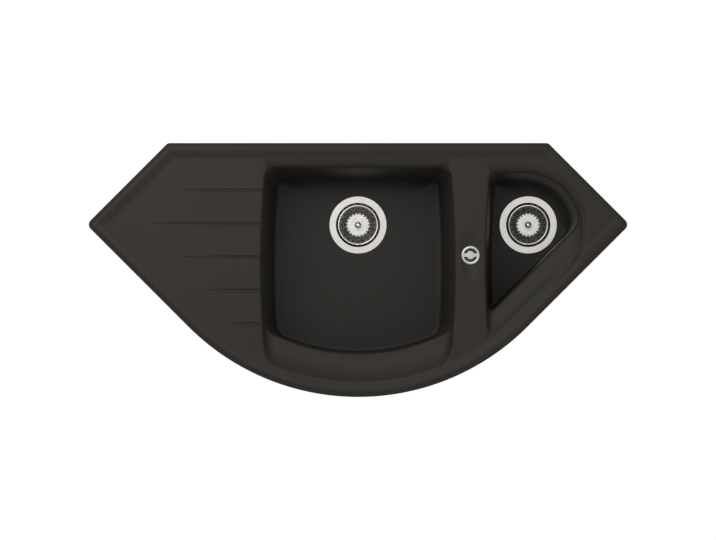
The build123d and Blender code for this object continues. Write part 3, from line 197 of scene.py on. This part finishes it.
def turnedSteel(name, x, y, colour, rough):
    t = turned
    finish = Finish(name)
    sockets = {"W": finish.radius(x, y), "Scale": t["rings"], "Detail": 3.0}
    rings = finish.add("TexNoise", {"noise_dimensions": "1D"}, sockets, "Fac")
    smudge = finish.noise(t["smudges"])
    tone = rings * t["ringShare"] + smudge * t["smudgeShare"]
    return finish.set(baseColour=finish.between(tone, shaded(colour, t["dark"]), colour), metal=1.0,
                      roughness=rough + (rings - 0.5) * t["ringSwing"] + (smudge - 0.5) * t["smudgeSwing"],
                      normal=finish.bump(rings, t["relief"]))


# a pressed basket: rows of round holes, a flat middle with a notched edge, and a mottled gloss, with painted shade: the
# cone is darkened a little and the band just outside the flat middle much more, towards the dark shade tone
basket = {"rows": (0.0320, 0.0265, 0.0213), "holes": 20, "hole": 0.0014, "holeColour": (0.006, 0.006, 0.006),
          "flat": 0.0218, "edge": 0.0246, "cone": 0.036, "paintedConeShade": 0.1, "paintedEdgeShade": 0.45,
          "shade": (0.10, 0.095, 0.09), "mottle": 260.0, "mottleShare": 0.9, "smudges": 60.0, "smudgeShare": 0.3,
          "base": 0.1, "dark": 0.62, "swing": 0.3, "holeRough": 0.4, "relief": (0.0002, 0.4)}


def pressedSteel(name, x, y, colour, rough):
    b = basket
    finish = Finish(name)
    radius = finish.radius(x, y)
    moved = finish.fromAxis(x, y)
    acrossX = finish.add("SeparateXYZ", None, {"Vector": moved}, "X")
    acrossY = finish.add("SeparateXYZ", None, {"Vector": moved}, "Y")
    turn = finish.add("Math", {"operation": "ARCTAN2"}, {0: acrossY, 1: acrossX}) * (b["holes"] / (2 * math.pi))
    share = finish.add("Math", {"operation": "FRACT"}, {0: turn + (b["holes"] + 0.5)}) - 0.5
    dark = 0.0
    for row in b["rows"]:
        along = share * (2 * math.pi * row / b["holes"])
        outward = radius - row
        away = finish.add("Math", {"operation": "SQRT"}, {0: along * along + outward * outward})
        dark = dark + (away < b["hole"])
    # painted shade: past the flat middle the colour is pulled towards a dark tone, lightly over the cone, strongly on
    # the band next to the flat
    beyond = radius > b["flat"]
    paintedShade = beyond * (radius < b["cone"]) * b["paintedConeShade"] + beyond * (radius < b["edge"]) * b["paintedEdgeShade"]
    mottle = finish.noise(b["mottle"], 4.0, 0.65)
    smudge = finish.noise(b["smudges"])
    gloss = mottle * b["mottleShare"] + smudge * b["smudgeShare"] - b["base"]
    tone = finish.between(gloss, shaded(colour, b["dark"]), colour)
    tone = finish.between(paintedShade, tone, b["shade"])
    tone = finish.between(dark, tone, b["holeColour"])
    return finish.set(baseColour=tone, metal=1.0, roughness=rough + (mottle - 0.5) * b["swing"] + dark * b["holeRough"],
                      normal=finish.bump(mottle * 0.5 - dark, b["relief"]))


polished = {"smudges": 90.0, "dark": 0.95, "swing": 0.05}


def polishedMetal(name, colour, rough):
    p = polished
    finish = Finish(name)
    smudge = finish.noise(p["smudges"], 3.0)
    return finish.set(baseColour=finish.between(smudge, shaded(colour, p["dark"]), colour), metal=1.0,
                      roughness=rough + (smudge - 0.5) * p["swing"])


plated = {"crystals": 500.0, "clouds": 120.0, "dark": 0.8, "swing": 0.2, "relief": (0.00005, 0.4)}


def platedMetal(name, colour, rough):
    p = plated
    finish = Finish(name)
    cloud = finish.noise(p["clouds"], 3.0)
    tone = finish.between(finish.cells(p["crystals"]) * 0.5 + cloud * 0.5, shaded(colour, p["dark"]), colour)
    return finish.set(baseColour=tone, metal=1.0, roughness=rough + (cloud - 0.5) * p["swing"],
                      normal=finish.bump(cloud, p["relief"]))


moulded = {"skin": 900.0, "clouds": 40.0, "dark": 0.88, "swing": 0.12, "relief": (0.00006, 0.4)}


def mouldedPlastic(name, colour, rough):
    p = moulded
    finish = Finish(name)
    cloud = finish.noise(p["clouds"])
    skin = finish.noise(p["skin"])
    return finish.set(baseColour=finish.between(cloud, shaded(colour, p["dark"]), colour),
                      roughness=rough + (cloud - 0.5) * p["swing"], normal=finish.bump(skin, p["relief"]))


rubber = {"dust": 400.0, "dark": (0.010, 0.010, 0.010), "pale": (0.022, 0.022, 0.021), "roughness": 0.72,
          "swing": 0.2, "relief": (0.00008, 0.5)}


def softRubber():
    r = rubber
    finish = Finish("softRubber")
    dust = finish.noise(r["dust"], 4.0, 0.7)
    return finish.set(baseColour=finish.between(dust, r["dark"], r["pale"]),
                      roughness=r["roughness"] + (dust - 0.5) * r["swing"], normal=finish.bump(dust, r["relief"]))


def middleOf(node):
    return sum(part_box(node), Vector()) / 2


mainDrain = middleOf("main_strainer_cup")
smallDrain = middleOf("small_strainer_cup")
control = middleOf("control_spindle")
steel = (0.54, 0.525, 0.505)
basketTone = (0.60, 0.585, 0.565)
grilleTone = (0.075, 0.073, 0.070)  # in the shade of the knob
finishes = {
    "composite": mineralComposite(),
    "black_rubber": softRubber(),
    "brass": platedMetal("turnedBrass", (0.72, 0.52, 0.22), 0.32),
    "zinc_steel": platedMetal("zincPlate", (0.62, 0.64, 0.66), 0.36),
    "chrome": polishedMetal("chromePlate", (0.50, 0.50, 0.49), 0.14),
    "chromed_plastic": polishedMetal("chromedPlastic", (0.26, 0.26, 0.26), 0.30),
    "black_plastic": mouldedPlastic("blackMoulding", (0.022, 0.022, 0.023), 0.45),
    "white_plastic": mouldedPlastic("whiteMoulding", (0.78, 0.78, 0.75), 0.40),
    "pale_plastic": mouldedPlastic("paleMoulding", (0.66, 0.63, 0.55), 0.40),
    "cable_sheath": mouldedPlastic("cableSheath", (0.05, 0.05, 0.055), 0.50),
    "dark_plastic": mouldedPlastic("darkMoulding", (0.035, 0.035, 0.035), 0.50),
}
# the other steel pieces take theirs by the first word of their names
steelFinishes = {
    "main": turnedSteel("mainWasteSteel", mainDrain.x, mainDrain.y, steel, 0.26),
    "small": turnedSteel("smallWasteSteel", smallDrain.x, smallDrain.y, steel, 0.26),
    "overflow": turnedSteel("grilleSteel", control.x, control.y, grilleTone, 0.42),
}
basketFinishes = {
    "main_basket": pressedSteel("mainBasketSteel", mainDrain.x, mainDrain.y, basketTone, 0.30),
    "small_basket": pressedSteel("smallBasketSteel", smallDrain.x, smallDrain.y, basketTone, 0.30),
}
slots = {part["node"]: part["material_slot"] for part in frame["record"]["subparts"]}
for name, node in nodes.items():
    finish = basketFinishes.get(name) or finishes.get(slots[name]) or steelFinishes[name.split("_")[0]]
    node.data.materials.clear()
    node.data.materials.append(finish)
    node.data.shade_smooth()
print("finishes on", len(nodes), "nodes")

# the moulding's dressed top: a height at each place, found from the hollows that are taken out of it
moulding = {"width": 1.060, "depth": 0.500, "frontRadius": 0.472, "tipRound": 0.012, "cornerRound": 0.010,
            "seatInset": 0.0125, "rimHeight": 0.009, "edgeHeight": 0.003, "edgeRound": 0.004, "crestInset": 0.008,
            "crestRound": 0.012, "crestSoft": 0.0022, "creaseInset": 0.028, "creaseSlope": 22.0, "creaseSoft": 0.0008,
            "deck": 0.0045, "shoulder": 0.126, "tipDeck": 0.0075, "tipSlope": 30.0, "tipSoft": 0.0012,
            "sideRadius": 2.0, "sideFromBack": 0.240, "drainRound": 0.0573}
mainBowl = {"halfWidth": 0.1915, "back": 0.048, "depth": 0.190, "draft": 7.3, "corner": 0.017, "ledge": 0.0855,
            "sideFoot": 0.008, "backFoot": 0.030, "frontFoot": 0.006, "lipRound": 0.005,
            "sideRound": 0.0045, "backRound": 0.019, "frontRound": 0.0012}
smallBowl = {"divider": 0.060, "depth": 0.135, "radius": 0.112, "draft": 9.0, "dividerDraft": 4.0, "corner": 0.012,
             "ledge": 0.072, "sideFoot": 0.006, "backFoot": 0.024, "frontFoot": 0.006, "lipRound": 0.009,
             "sideRound": 0.005, "backRound": 0.018, "frontRound": 0.0012}
# how far from where two walls meet their rounds pass into each other
passing = {"backFoot": (-0.012, 0.045), "backMouth": (-0.004, 0.012), "frontFoot": (-0.020, 0.006),
           "frontMouth": (-0.006, 0.034)}
slope = {"inset": 0.0295, "angle": 45.0, "draft": 1.0, "overrun": 0.020, "overrunLength": 0.06}
grooves = {"fromBack": 0.0935, "pitch": 0.0657, "width": 0.007, "drop": 0.0028, "soft": 0.0003, "intoBowl": 0.008,
           "past": 0.004, "fade": 4, "ends": (-0.361, -0.421, -0.360, -0.309, -0.262)}
scoop = {"length": 0.106, "width": 0.043, "drop": 0.006, "soft": 0.0003, "seatRadius": 0.0186}
# the mesh: its first squares, how often they are cut in four, and the height error that is left
mesher = {"low": (-0.544, -0.496), "high": (0.544, 0.032), "coarse": 0.008, "levels": 3, "error": 0.00008,
          "edgeRings": (0.0003, 0.0009, 0.0018, 0.0032), "edgeStep": 0.004, "edgeGap": 0.0012, "holeGap": 0.0008,
          "holePoints": 96, "tipPoints": 8, "cornerPoints": 5, "halvings": 22, "margin": 0.001,
          "normalStep": 0.00015, "weld": 1e-7, "tiny": 0.00001}

m = moulding
diagonal = math.sqrt(2.0)
backY = m["seatInset"]
frontY = backY - m["depth"] + m["frontRadius"]
tipX = m["width"] / 2 + m["tipRound"] * (diagonal - 1)
frontReach = m["frontRadius"] * diagonal - frontY
tipY = tipX - frontReach
backReach = tipX + tipY
shoulderX = tipX - (m["creaseInset"] + m["shoulder"]) * diagonal
sideY = backY - m["sideFromBack"]


def roundCorner(first, second, radius):
    # the smaller of two distances, with a round inner corner where they meet square
    half = (first - second) / 2
    inner = (first + second) / 2 - radius + np.sqrt(np.maximum(radius**2 / 2 - half**2, 0.0))
    return np.where(np.abs(half) < radius / 2, inner, np.minimum(first, second))


def roundEdge(first, second, radius):
    return -roundCorner(-first, -second, radius)


def softLow(first, second, soft):
    share = np.clip(0.5 + 0.5 * (second - first) / soft, 0.0, 1.0)
    return second * (1 - share) + first * share - soft * share * (1 - share)


def softRise(run, angle, soft):
    rise = run * math.tan(math.radians(angle))
    return 0.5 * (rise + np.sqrt(rise**2 + soft**2) - soft)


def smoothStep(value, low, high):
    share = np.clip((value - low) / (high - low), 0.0, 1.0)
    return share * share * (3 - 2 * share)


def frontInset(x, y):
    # distance in from the front outline: its arc, and the straight edges that run on from it
    straight = (frontReach - (np.abs(x) - y)) / diagonal
    curved = m["frontRadius"] - np.hypot(x, y - frontY)
    return np.where(np.abs(x) <= frontY - y, curved, straight)


def outlineInset(x, y):
    back = backY - y
    upper = (backReach - (np.abs(x) + y)) / diagonal
    front = frontInset(x, y)
    inset = np.minimum(np.minimum(back, upper), front)
    # round tips: the centre lies in from both edges by the radius
    tip = m["tipRound"]
    overTip = np.hypot(np.abs(x) - (tipX - tip * diagonal), y - tipY)
    beyond = (np.abs(x) - (tipX - tip * diagonal)) > np.abs(y - tipY)
    inset = np.where(beyond, tip - overTip, inset)
    corner = m["cornerRound"]
    cornerX = backReach - corner * diagonal - backY + corner
    turn = np.degrees(np.arctan2(y - (backY - corner), np.abs(x) - cornerX))
    return np.where((turn > 45) & (turn < 90), corner - np.hypot(np.abs(x) - cornerX, y - backY + corner), inset)


def rimTop(inset):
    rise = (m["rimHeight"] - m["edgeHeight"]) / m["crestInset"]
    tilt = math.atan(rise)
    low, high = m["edgeRound"], m["crestRound"]
    lowRun = low * math.tan((math.pi / 2 - tilt) / 2)
    highRun = high * math.tan(tilt / 2)
    lowZ = m["edgeHeight"] - lowRun
    lowArc = lowZ + np.sqrt(np.maximum(low**2 - (low - inset) ** 2, 0.0))
    highX = m["crestInset"] + highRun
    highArc = m["rimHeight"] - high + np.sqrt(np.maximum(high**2 - (highX - inset) ** 2, 0.0))
    height = np.where(inset < lowRun * math.cos(tilt), lowArc, m["edgeHeight"] + rise * inset)
    height = np.where(inset > m["crestInset"] - highRun * math.cos(tilt), highArc, height)
    return np.where(inset > highX, m["rimHeight"], height)


def deckTop(x, y):
    inset = outlineInset(x, y)
    fromShoulder = np.hypot(x - shoulderX, y - tipY)
    deckIn = inset - m["creaseInset"]
    beside = (x - shoulderX) > np.abs(y - tipY)
    deckIn = np.where(beside, m["shoulder"] - fromShoulder, deckIn)
    recess = m["deck"] + softRise(-deckIn, m["creaseSlope"], m["creaseSoft"])
    height = softLow(rimTop(inset), recess, m["crestSoft"])
    creaseX = backReach - m["creaseInset"] * (diagonal - 1) - backY
    along = ((x - y) - (creaseX - backY + m["creaseInset"])) / diagonal
    tipIn = np.minimum(frontInset(x, y) - m["creaseInset"], along)
    tipDeck = m["tipDeck"] + softRise(-tipIn, m["tipSlope"], m["creaseSoft"])
    height = np.where(x > 0, softLow(height, tipDeck, m["tipSoft"]), height)
    radius = (grooves["width"] ** 2 / 4 + grooves["drop"] ** 2) / (2 * grooves["drop"])
    for index, end in enumerate(grooves["ends"]):
        middle = backY - grooves["fromBack"] - index * grooves["pitch"]
        start = -mainBowl["halfWidth"] + grooves["intoBowl"]
        share = np.clip((x - start) / (end - start), 0.0, 1.0)
        across = np.abs(y - middle)
        arc = np.sqrt(np.maximum(radius**2 - across**2, 0.0))
        floor = m["deck"] + radius - grooves["drop"] * (1 - share ** grooves["fade"]) - arc
        grooved = (across < radius * 0.98) & (x < start + grooves["past"]) & (share < 1)
        height = np.where(grooved, softLow(height, floor, grooves["soft"]), height)
    section = (scoop["width"] ** 2 / 4 + scoop["drop"] ** 2) / (2 * scoop["drop"])
    lengthwise = (scoop["length"] ** 2 / 4 + scoop["drop"] ** 2) / (2 * scoop["drop"])
    along = np.clip((y - control.y) / lengthwise, -1.0, 1.0)
    swell = section - lengthwise * (1 - np.sqrt(1 - along**2))
    across = np.minimum(np.abs(x - control.x), swell)
    hollow = m["deck"] - scoop["drop"] + section - np.sqrt(np.maximum(swell**2 - across**2, 0.0))
    return softLow(height, hollow, scoop["soft"])


def frontHollow(x, y, z, ledge, lipRound):
    # the air over the concave slope inside the front rim, and the drop at its ledge
    radius = (ledge - slope["inset"]) / math.sin(math.radians(slope["angle"]))
    middle = m["deck"] + radius * math.cos(math.radians(slope["angle"]))
    inset = frontInset(x, y)
    over = radius - np.hypot(inset - ledge, z - middle)
    drop = inset - ledge + (z - middle + radius) * math.tan(math.radians(slope["draft"]))
    return roundEdge(over, drop, lipRound)


def bowlHollow(b, side, back, front, height):
    # the mouth and the foot are rounded widely at the back, less at the sides and least in front
    foot = b["sideFoot"] + (b["backFoot"] - b["sideFoot"]) * smoothStep(side - back, *passing["backFoot"])
    mouth = b["sideRound"] + (b["backRound"] - b["sideRound"]) * smoothStep(side - back, *passing["backMouth"])
    walls = roundCorner(side, back, b["corner"])
    foot = foot + (b["frontFoot"] - foot) * smoothStep(walls - front, *passing["frontFoot"])
    mouth = mouth + (b["frontRound"] - mouth) * smoothStep(walls - front, *passing["frontMouth"])
    return roundCorner(roundCorner(walls, front, b["corner"]), height, foot), mouth


def leaning(inside, z, draft):
    return (inside - (m["deck"] - z) * math.tan(math.radians(draft))) * math.cos(math.radians(draft))


def mainHollow(x, y, z):
    b = mainBowl
    side = m["sideRadius"] - np.hypot(np.abs(x) - b["halfWidth"] + m["sideRadius"], y - sideY)
    side = leaning(side, z, b["draft"])
    back = leaning(backY - b["back"] - y, z, b["draft"])
    front = frontHollow(x, y, z, b["ledge"], b["lipRound"])
    return bowlHollow(b, side, back, front, z - (m["deck"] - b["depth"]))


def smallHollow(x, y, z):
    b = smallBowl
    lean = (m["shoulder"] + m["creaseInset"] - slope["inset"] - b["radius"]) / diagonal
    centreX, centreY = shoulderX + lean, tipY - lean
    dx, dy = x - centreX, y - centreY
    wall = b["radius"] - np.where(dx > 0, np.hypot(dx, dy), dy)
    # beyond the arc's lower end the wall runs on straight, and out of the way of the slope in front of it
    past = -(dx + dy)
    overrun = slope["overrun"] * smoothStep(past, 0.0, slope["overrunLength"])
    wall = np.where(past > 0, b["radius"] - (dx - dy) / diagonal + overrun, wall)
    wall = leaning(wall, z, b["draft"])
    dividerX = mainBowl["halfWidth"] + b["divider"]
    side = m["sideRadius"] - np.hypot(x - dividerX - m["sideRadius"], y - sideY)
    side = leaning(side, z, b["dividerDraft"])
    front = frontHollow(x, y, z, b["ledge"], b["lipRound"])
    return bowlHollow(b, side, wall, front, z - (m["deck"] - b["depth"]))


def air(x, y, z, deck):
    # above nought in the open, below nought in the material
    hollow, soft = mainHollow(x, y, z)
    smaller, softer = smallHollow(x, y, z)
    onMain = x < (mainBowl["halfWidth"] + smallBowl["divider"] / 2)
    return roundEdge(z - deck, np.where(onMain, hollow, smaller), np.where(onMain, soft, softer))


def topHeight(x, y):
    deck = deckTop(x, y)
    low = np.full_like(x, m["deck"] - mainBowl["depth"] - mesher["margin"])
    high = deck + mesher["margin"]
    for _ in range(mesher["halvings"]):
        mid = (low + high) / 2
        inAir = air(x, y, mid, deck) > 0
        high = np.where(inAir, mid, high)
        low = np.where(inAir, low, mid)
    return high


def topNormals(x, y, z):
    step = mesher["normalStep"]
    slopes = []
    for move in ((step, 0, 0), (0, step, 0), (0, 0, step)):
        ahead = air(x + move[0], y + move[1], z + move[2], deckTop(x + move[0], y + move[1]))
        behind = air(x - move[0], y - move[1], z - move[2], deckTop(x - move[0], y - move[1]))
        slopes.append(ahead - behind)
    normals = np.stack(slopes, axis=1)
    return normals / np.linalg.norm(normals, axis=1)[:, None]


def outlineLoop(inset):
    # points on the outline moved in by inset: half of it is worked out, then mirrored
    step = mesher["edgeStep"]
    points = []
    arc = m["frontRadius"] - inset
    eighth = math.pi / 4
    for index in range(int(arc * eighth / step) + 1):
        turn = eighth * index / int(arc * eighth / step + 0.999)
        points.append((arc * math.sin(turn), frontY - arc * math.cos(turn)))
    tip, corner = max(m["tipRound"] - inset, 0.0), max(m["cornerRound"] - inset, 0.0)
    tipMiddle = (tipX - (tip + inset) * diagonal, tipY)
    cornerMiddle = (backReach - (corner + inset) * (diagonal - 1) - backY, backY - corner - inset)
    lowEnd = (tipMiddle[0] + tip / diagonal, tipMiddle[1] - tip / diagonal)
    highEnd = (tipMiddle[0] + tip / diagonal, tipMiddle[1] + tip / diagonal)
    cornerEnd = (cornerMiddle[0] + corner / diagonal, cornerMiddle[1] + corner / diagonal)
    backEnd = (cornerMiddle[0], cornerMiddle[1] + corner)

    def run(start, end):
        count = max(int(math.dist(start, end) / step), 1)
        across, along = end[0] - start[0], end[1] - start[1]
        return [(start[0] + across * i / count, start[1] + along * i / count) for i in range(count)]

    def turnFrom(middle, radius, first, last, count):
        angles = [math.radians(first + (last - first) * i / count) for i in range(count)]
        return [(middle[0] + radius * math.cos(a), middle[1] + radius * math.sin(a)) for a in angles] if radius else []

    points = points[:-1] + run(points[-1], lowEnd) + turnFrom(tipMiddle, tip, -45, 45, mesher["tipPoints"])
    points += run(highEnd, cornerEnd) + turnFrom(cornerMiddle, corner, 45, 90, mesher["cornerPoints"])
    points += run(backEnd, (0.0, backEnd[1]))
    points.append((0.0, backEnd[1]))
    left = [(-px, py) for px, py in reversed(points[1:-1])]
    return points + left


def circleLoop(x, y, radius, count):
    turns = [2 * math.pi * i / count for i in range(count)]
    return [(x + radius * math.cos(turn), y + radius * math.sin(turn)) for turn in turns]


def nearGroove(x, y, margin):
    found = np.zeros(len(x), bool)
    grooveEnd = -mainBowl["halfWidth"] + grooves["intoBowl"] + grooves["past"]
    for index, end in enumerate(grooves["ends"]):
        across = np.abs(y - (backY - grooves["fromBack"] - index * grooves["pitch"]))
        along = (x > end - margin) & (x < grooveEnd + margin)
        found |= (across < grooves["width"] / 2 + margin) & along
    return found


def adaptivePoints():
    # squares that are cut in four wherever a flat square would miss the surface
    size = mesher["coarse"]
    xs = np.arange(mesher["low"][0], mesher["high"][0] + size, size)
    ys = np.arange(mesher["low"][1], mesher["high"][1] + size, size)
    cells = np.array([(x, y) for x in xs for y in ys])
    kept = set()
    for level in range(mesher["levels"] + 1):
        grid = np.array([(i / 2, j / 2) for i in range(3) for j in range(3)])
        samples = cells[:, None, :] + grid[None, :, :] * size
        flat = samples.reshape(-1, 2)
        heights = topHeight(flat[:, 0], flat[:, 1]).reshape(-1, 9)
        corners = heights[:, [0, 2, 6, 8]]
        flatMiddle = corners.mean(axis=1)
        error = np.abs(heights[:, 4] - flatMiddle)
        for edge, (a, b) in ((1, (0, 1)), (3, (0, 2)), (5, (1, 3)), (7, (2, 3))):
            error = np.maximum(error, np.abs(heights[:, edge] - (corners[:, a] + corners[:, b]) / 2))
        inside = outlineInset(samples[:, 4, 0], samples[:, 4, 1]) > -size
        for point in np.round(samples[inside][:, [0, 2, 6, 8]].reshape(-1, 2), 7):
            kept.add((float(point[0]), float(point[1])))
        rough = inside & ((error > mesher["error"]) | nearGroove(samples[:, 4, 0], samples[:, 4, 1], size))
        if level == mesher["levels"] or not rough.any():
            break
        size /= 2
        quarters = np.array([(0, 0), (size, 0), (0, size), (size, size)])
        cells = (cells[rough][:, None, :] + quarters[None]).reshape(-1, 2)
    return np.array(sorted(kept))


def mouldingTop():
    holes = [(mainDrain.x, mainDrain.y, m["drainRound"]), (smallDrain.x, smallDrain.y, m["drainRound"]),
             (control.x, control.y, scoop["seatRadius"])]
    points = adaptivePoints()
    keep = outlineInset(points[:, 0], points[:, 1]) > mesher["edgeRings"][-1] + mesher["edgeGap"]
    for x, y, radius in holes:
        keep &= np.hypot(points[:, 0] - x, points[:, 1] - y) > radius + mesher["holeGap"]
    loops = [outlineLoop(0.0)] + [circleLoop(x, y, radius, mesher["holePoints"]) for x, y, radius in holes]
    flat, edges = [], []
    for loop in loops:
        start = len(flat)
        flat += loop
        edges += [(start + i, start + (i + 1) % len(loop)) for i in range(len(loop))]
    for inset in mesher["edgeRings"]:
        flat += outlineLoop(inset)
    flat += [tuple(p) for p in points[keep]]
    made = geometry.delaunay_2d_cdt([Vector(p) for p in flat], edges, [], 0, mesher["weld"])
    spots = np.array([tuple(v) for v in made[0]])
    faces = np.array(made[2])
    middles = spots[faces].mean(axis=1)
    inside = outlineInset(middles[:, 0], middles[:, 1]) > 2 * mesher["tiny"]
    for x, y, radius in holes:
        inside &= np.hypot(middles[:, 0] - x, middles[:, 1] - y) > radius * 0.9995
    faces = faces[inside]
    heights = topHeight(spots[:, 0], spots[:, 1])
    normals = topNormals(spots[:, 0], spots[:, 1], heights)
    return spots, heights, faces, normals


def shellMesh():
    spots, heights, faces, normals = mouldingTop()
    used = np.unique(faces)
    place = np.full(len(spots), -1)
    place[used] = np.arange(len(used))
    corners = [(*spots[i], heights[i]) for i in used]
    normals = [tuple(n) for n in normals[used]]
    shapes = [tuple(int(place[i]) for i in face) for face in faces]
    # the upright edge below the rim's first round
    rim = [i for i, v in enumerate(corners) if abs(outlineInset(np.array(v[0]), np.array(v[1]))) < mesher["tiny"]]
    order = sorted(rim, key=lambda i: math.atan2(corners[i][1] + 0.1, corners[i][0]))
    upper, lower = [], []
    for i in order:
        x, y, z = corners[i]
        inwardX = outlineInset(np.array(x + mesher["tiny"]), np.array(y))
        inwardY = outlineInset(np.array(x), np.array(y + mesher["tiny"]))
        outward = -Vector((float(inwardX), float(inwardY), 0.0)).normalized()
        upper.append(len(corners))
        corners.append((x, y, z))
        normals.append(tuple(outward))
        lower.append(len(corners))
        corners.append((x, y, 0.0))
        normals.append(tuple(outward))
    for i in range(len(order)):
        j = (i + 1) % len(order)
        shapes.append((lower[i], lower[j], upper[j], upper[i]))
    # the underside, the drain seats and the control's seat are the frame's own
    solid = nodes["sink_body"].data
    drainReach, controlReach = m["drainRound"] + 0.0002, scoop["seatRadius"] + 0.0001
    seats = ((mainDrain, drainReach), (smallDrain, drainReach), (control, controlReach))
    added = {}
    for face in solid.polygons:
        x, y, z = face.center
        nearHole = any(math.hypot(x - place.x, y - place.y) < radius for place, radius in seats)
        outer = outlineInset(np.array(x), np.array(y)) < mesher["edgeGap"]
        upward = face.normal.z > 0.008 or (outer and face.normal.z > -0.5)
        if upward and not nearHole:
            continue
        shape = []
        for loop in face.loop_indices:
            index = solid.loops[loop].vertex_index
            normal = tuple(solid.corner_normals[loop].vector)
            key = (index, tuple(round(c, 2) for c in normal))
            if key not in added:
                added[key] = len(corners)
                corners.append(tuple(solid.vertices[index].co))
                normals.append(normal)
            shape.append(added[key])
        shapes.append(tuple(shape))
    mesh = bpy.data.meshes.new("moulding")
    mesh.from_pydata(corners, [], shapes)
    mesh.shade_smooth()
    mesh.normals_split_custom_set_from_vertices(normals)
    return mesh


shell = bpy.data.objects.new("moulding", shellMesh())
scene.collection.objects.link(shell)
shell.data.materials.append(finishes["composite"])
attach(shell, "sink")
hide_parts("sink_body")
print("moulding made", len(shell.data.polygons), "faces")

# the release cable runs from the control's cover to the lever's housing as one smooth line
cable = {"diameter": 0.005, "length": 0.4977, "route": (
    (0.217, -0.2262, -0.070), (0.217, -0.278, -0.070), (0.213, -0.312, -0.118), (0.198, -0.320, -0.178),
    (0.160, -0.312, -0.236), (0.108, -0.300, -0.272), (0.060, -0.284, -0.286), (0.020, -0.256, -0.287),
    (0.0, -0.212, -0.28571), (0.0, -0.1623, -0.28571))}


def releaseCable():
    curve = bpy.data.curves.new("releaseCable", "CURVE")
    curve.dimensions = "3D"
    line = curve.splines.new("NURBS")
    line.points.add(len(cable["route"]) - 1)
    for point, place in zip(line.points, cable["route"]):
        point.co = (*place, 1.0)
    line.order_u = 3
    line.use_endpoint_u = True
    line.resolution_u = 16
    curve.bevel_depth = cable["diameter"] / 2
    curve.bevel_resolution = 5
    curve.use_fill_caps = True
    piece = bpy.data.objects.new("releaseCable", curve)
    scene.collection.objects.link(piece)
    curve.materials.append(finishes["cable_sheath"])
    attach(piece, "sink")
    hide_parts("release_cable")


releaseCable()
print("release cable laid")

# the floor, the lamps and the camera
studio = {"floorDrop": 0.03, "floorSize": 14.0, "floorColour": (0.86, 0.86, 0.86), "lens": 900.0, "sensor": 36.0,
          "clipEnd": 200.0, "viewWidth": 1.4094, "world": 0.50, "paper": 1.12, "paperShare": 0.85}
lamps = {
    "softLight": {"place": (-0.6, 0.35, 1.3), "size": (1.0, 1.0), "power": 11.0},
    "fillLight": {"place": (0.9, -0.7, 1.5), "size": (1.2, 1.2), "power": 3.0},
    "overLight": {"place": (0.1, 0.75, 2.6), "size": (0.8, 0.8), "power": 9.0},
}
white = (1.0, 1.0, 1.0)
middle = Vector((0.0, (cadLow.y + cadHigh.y) / 2, 0.0))


def studioFloor():
    mesh = bpy.data.meshes.new("floor")
    half = studio["floorSize"] / 2
    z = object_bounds()[0].z - studio["floorDrop"]
    corners = [(-half, -half, z), (half, -half, z), (half, half, z), (-half, half, z)]
    mesh.from_pydata(corners, [], [(0, 1, 2, 3)])
    floor = bpy.data.objects.new("floor", mesh)
    scene.collection.objects.link(floor)
    finish = Finish("studioPaper")
    finish.set(baseColour=studio["floorColour"], roughness=0.9, specular=0.1)
    # seen directly the paper is white, and it still shows the shadow
    glow = finish.add("Emission", None, {"Color": white, "Strength": studio["paper"]})
    paper = Wire(finish.tree, finish.shader.outputs[0])
    surface = finish.add("MixShader", None, {0: finish.seenDirectly() * studio["paperShare"], 1: paper, 2: glow})
    plug(finish.tree, finish.tree.nodes["Material Output"].inputs["Surface"], surface)
    mesh.materials.append(finish.material)


def studioWorld():
    world = bpy.data.worlds.new("studio")
    scene.world = world
    world.use_nodes = True
    sky = Nodes(world.node_tree)
    seen = sky.add("Math", {"operation": "MINIMUM"}, {0: sky.seenDirectly(), 1: 1.0})
    background = sky.tree.nodes["Background"]
    plug(sky.tree, background.inputs["Color"], white)
    plug(sky.tree, background.inputs["Strength"], studio["world"] + seen * (1.0 - studio["world"]))


def addLamp(name, place, size, power):
    light = bpy.data.lights.new(name, "AREA")
    light.shape = "RECTANGLE"
    light.size, light.size_y = size
    light.energy = power
    item = bpy.data.objects.new(name, light)
    scene.collection.objects.link(item)
    item.location = place
    item.rotation_euler = (middle - Vector(place)).to_track_quat("-Z", "Y").to_euler()


def addCamera():
    camera = bpy.data.objects.new("camera", bpy.data.cameras.new("camera"))
    scene.collection.objects.link(camera)
    camera.data.lens = studio["lens"]
    camera.data.sensor_width = studio["sensor"]
    camera.data.clip_end = studio["clipEnd"]
    camera.location = middle + Vector((0, 0, studio["viewWidth"] * studio["lens"] / studio["sensor"]))
    scene.camera = camera


studioFloor()
studioWorld()
for name, lamp in lamps.items():
    addLamp(name, **lamp)
addCamera()
scene.view_settings.view_transform = "Standard"
print("studio ready")
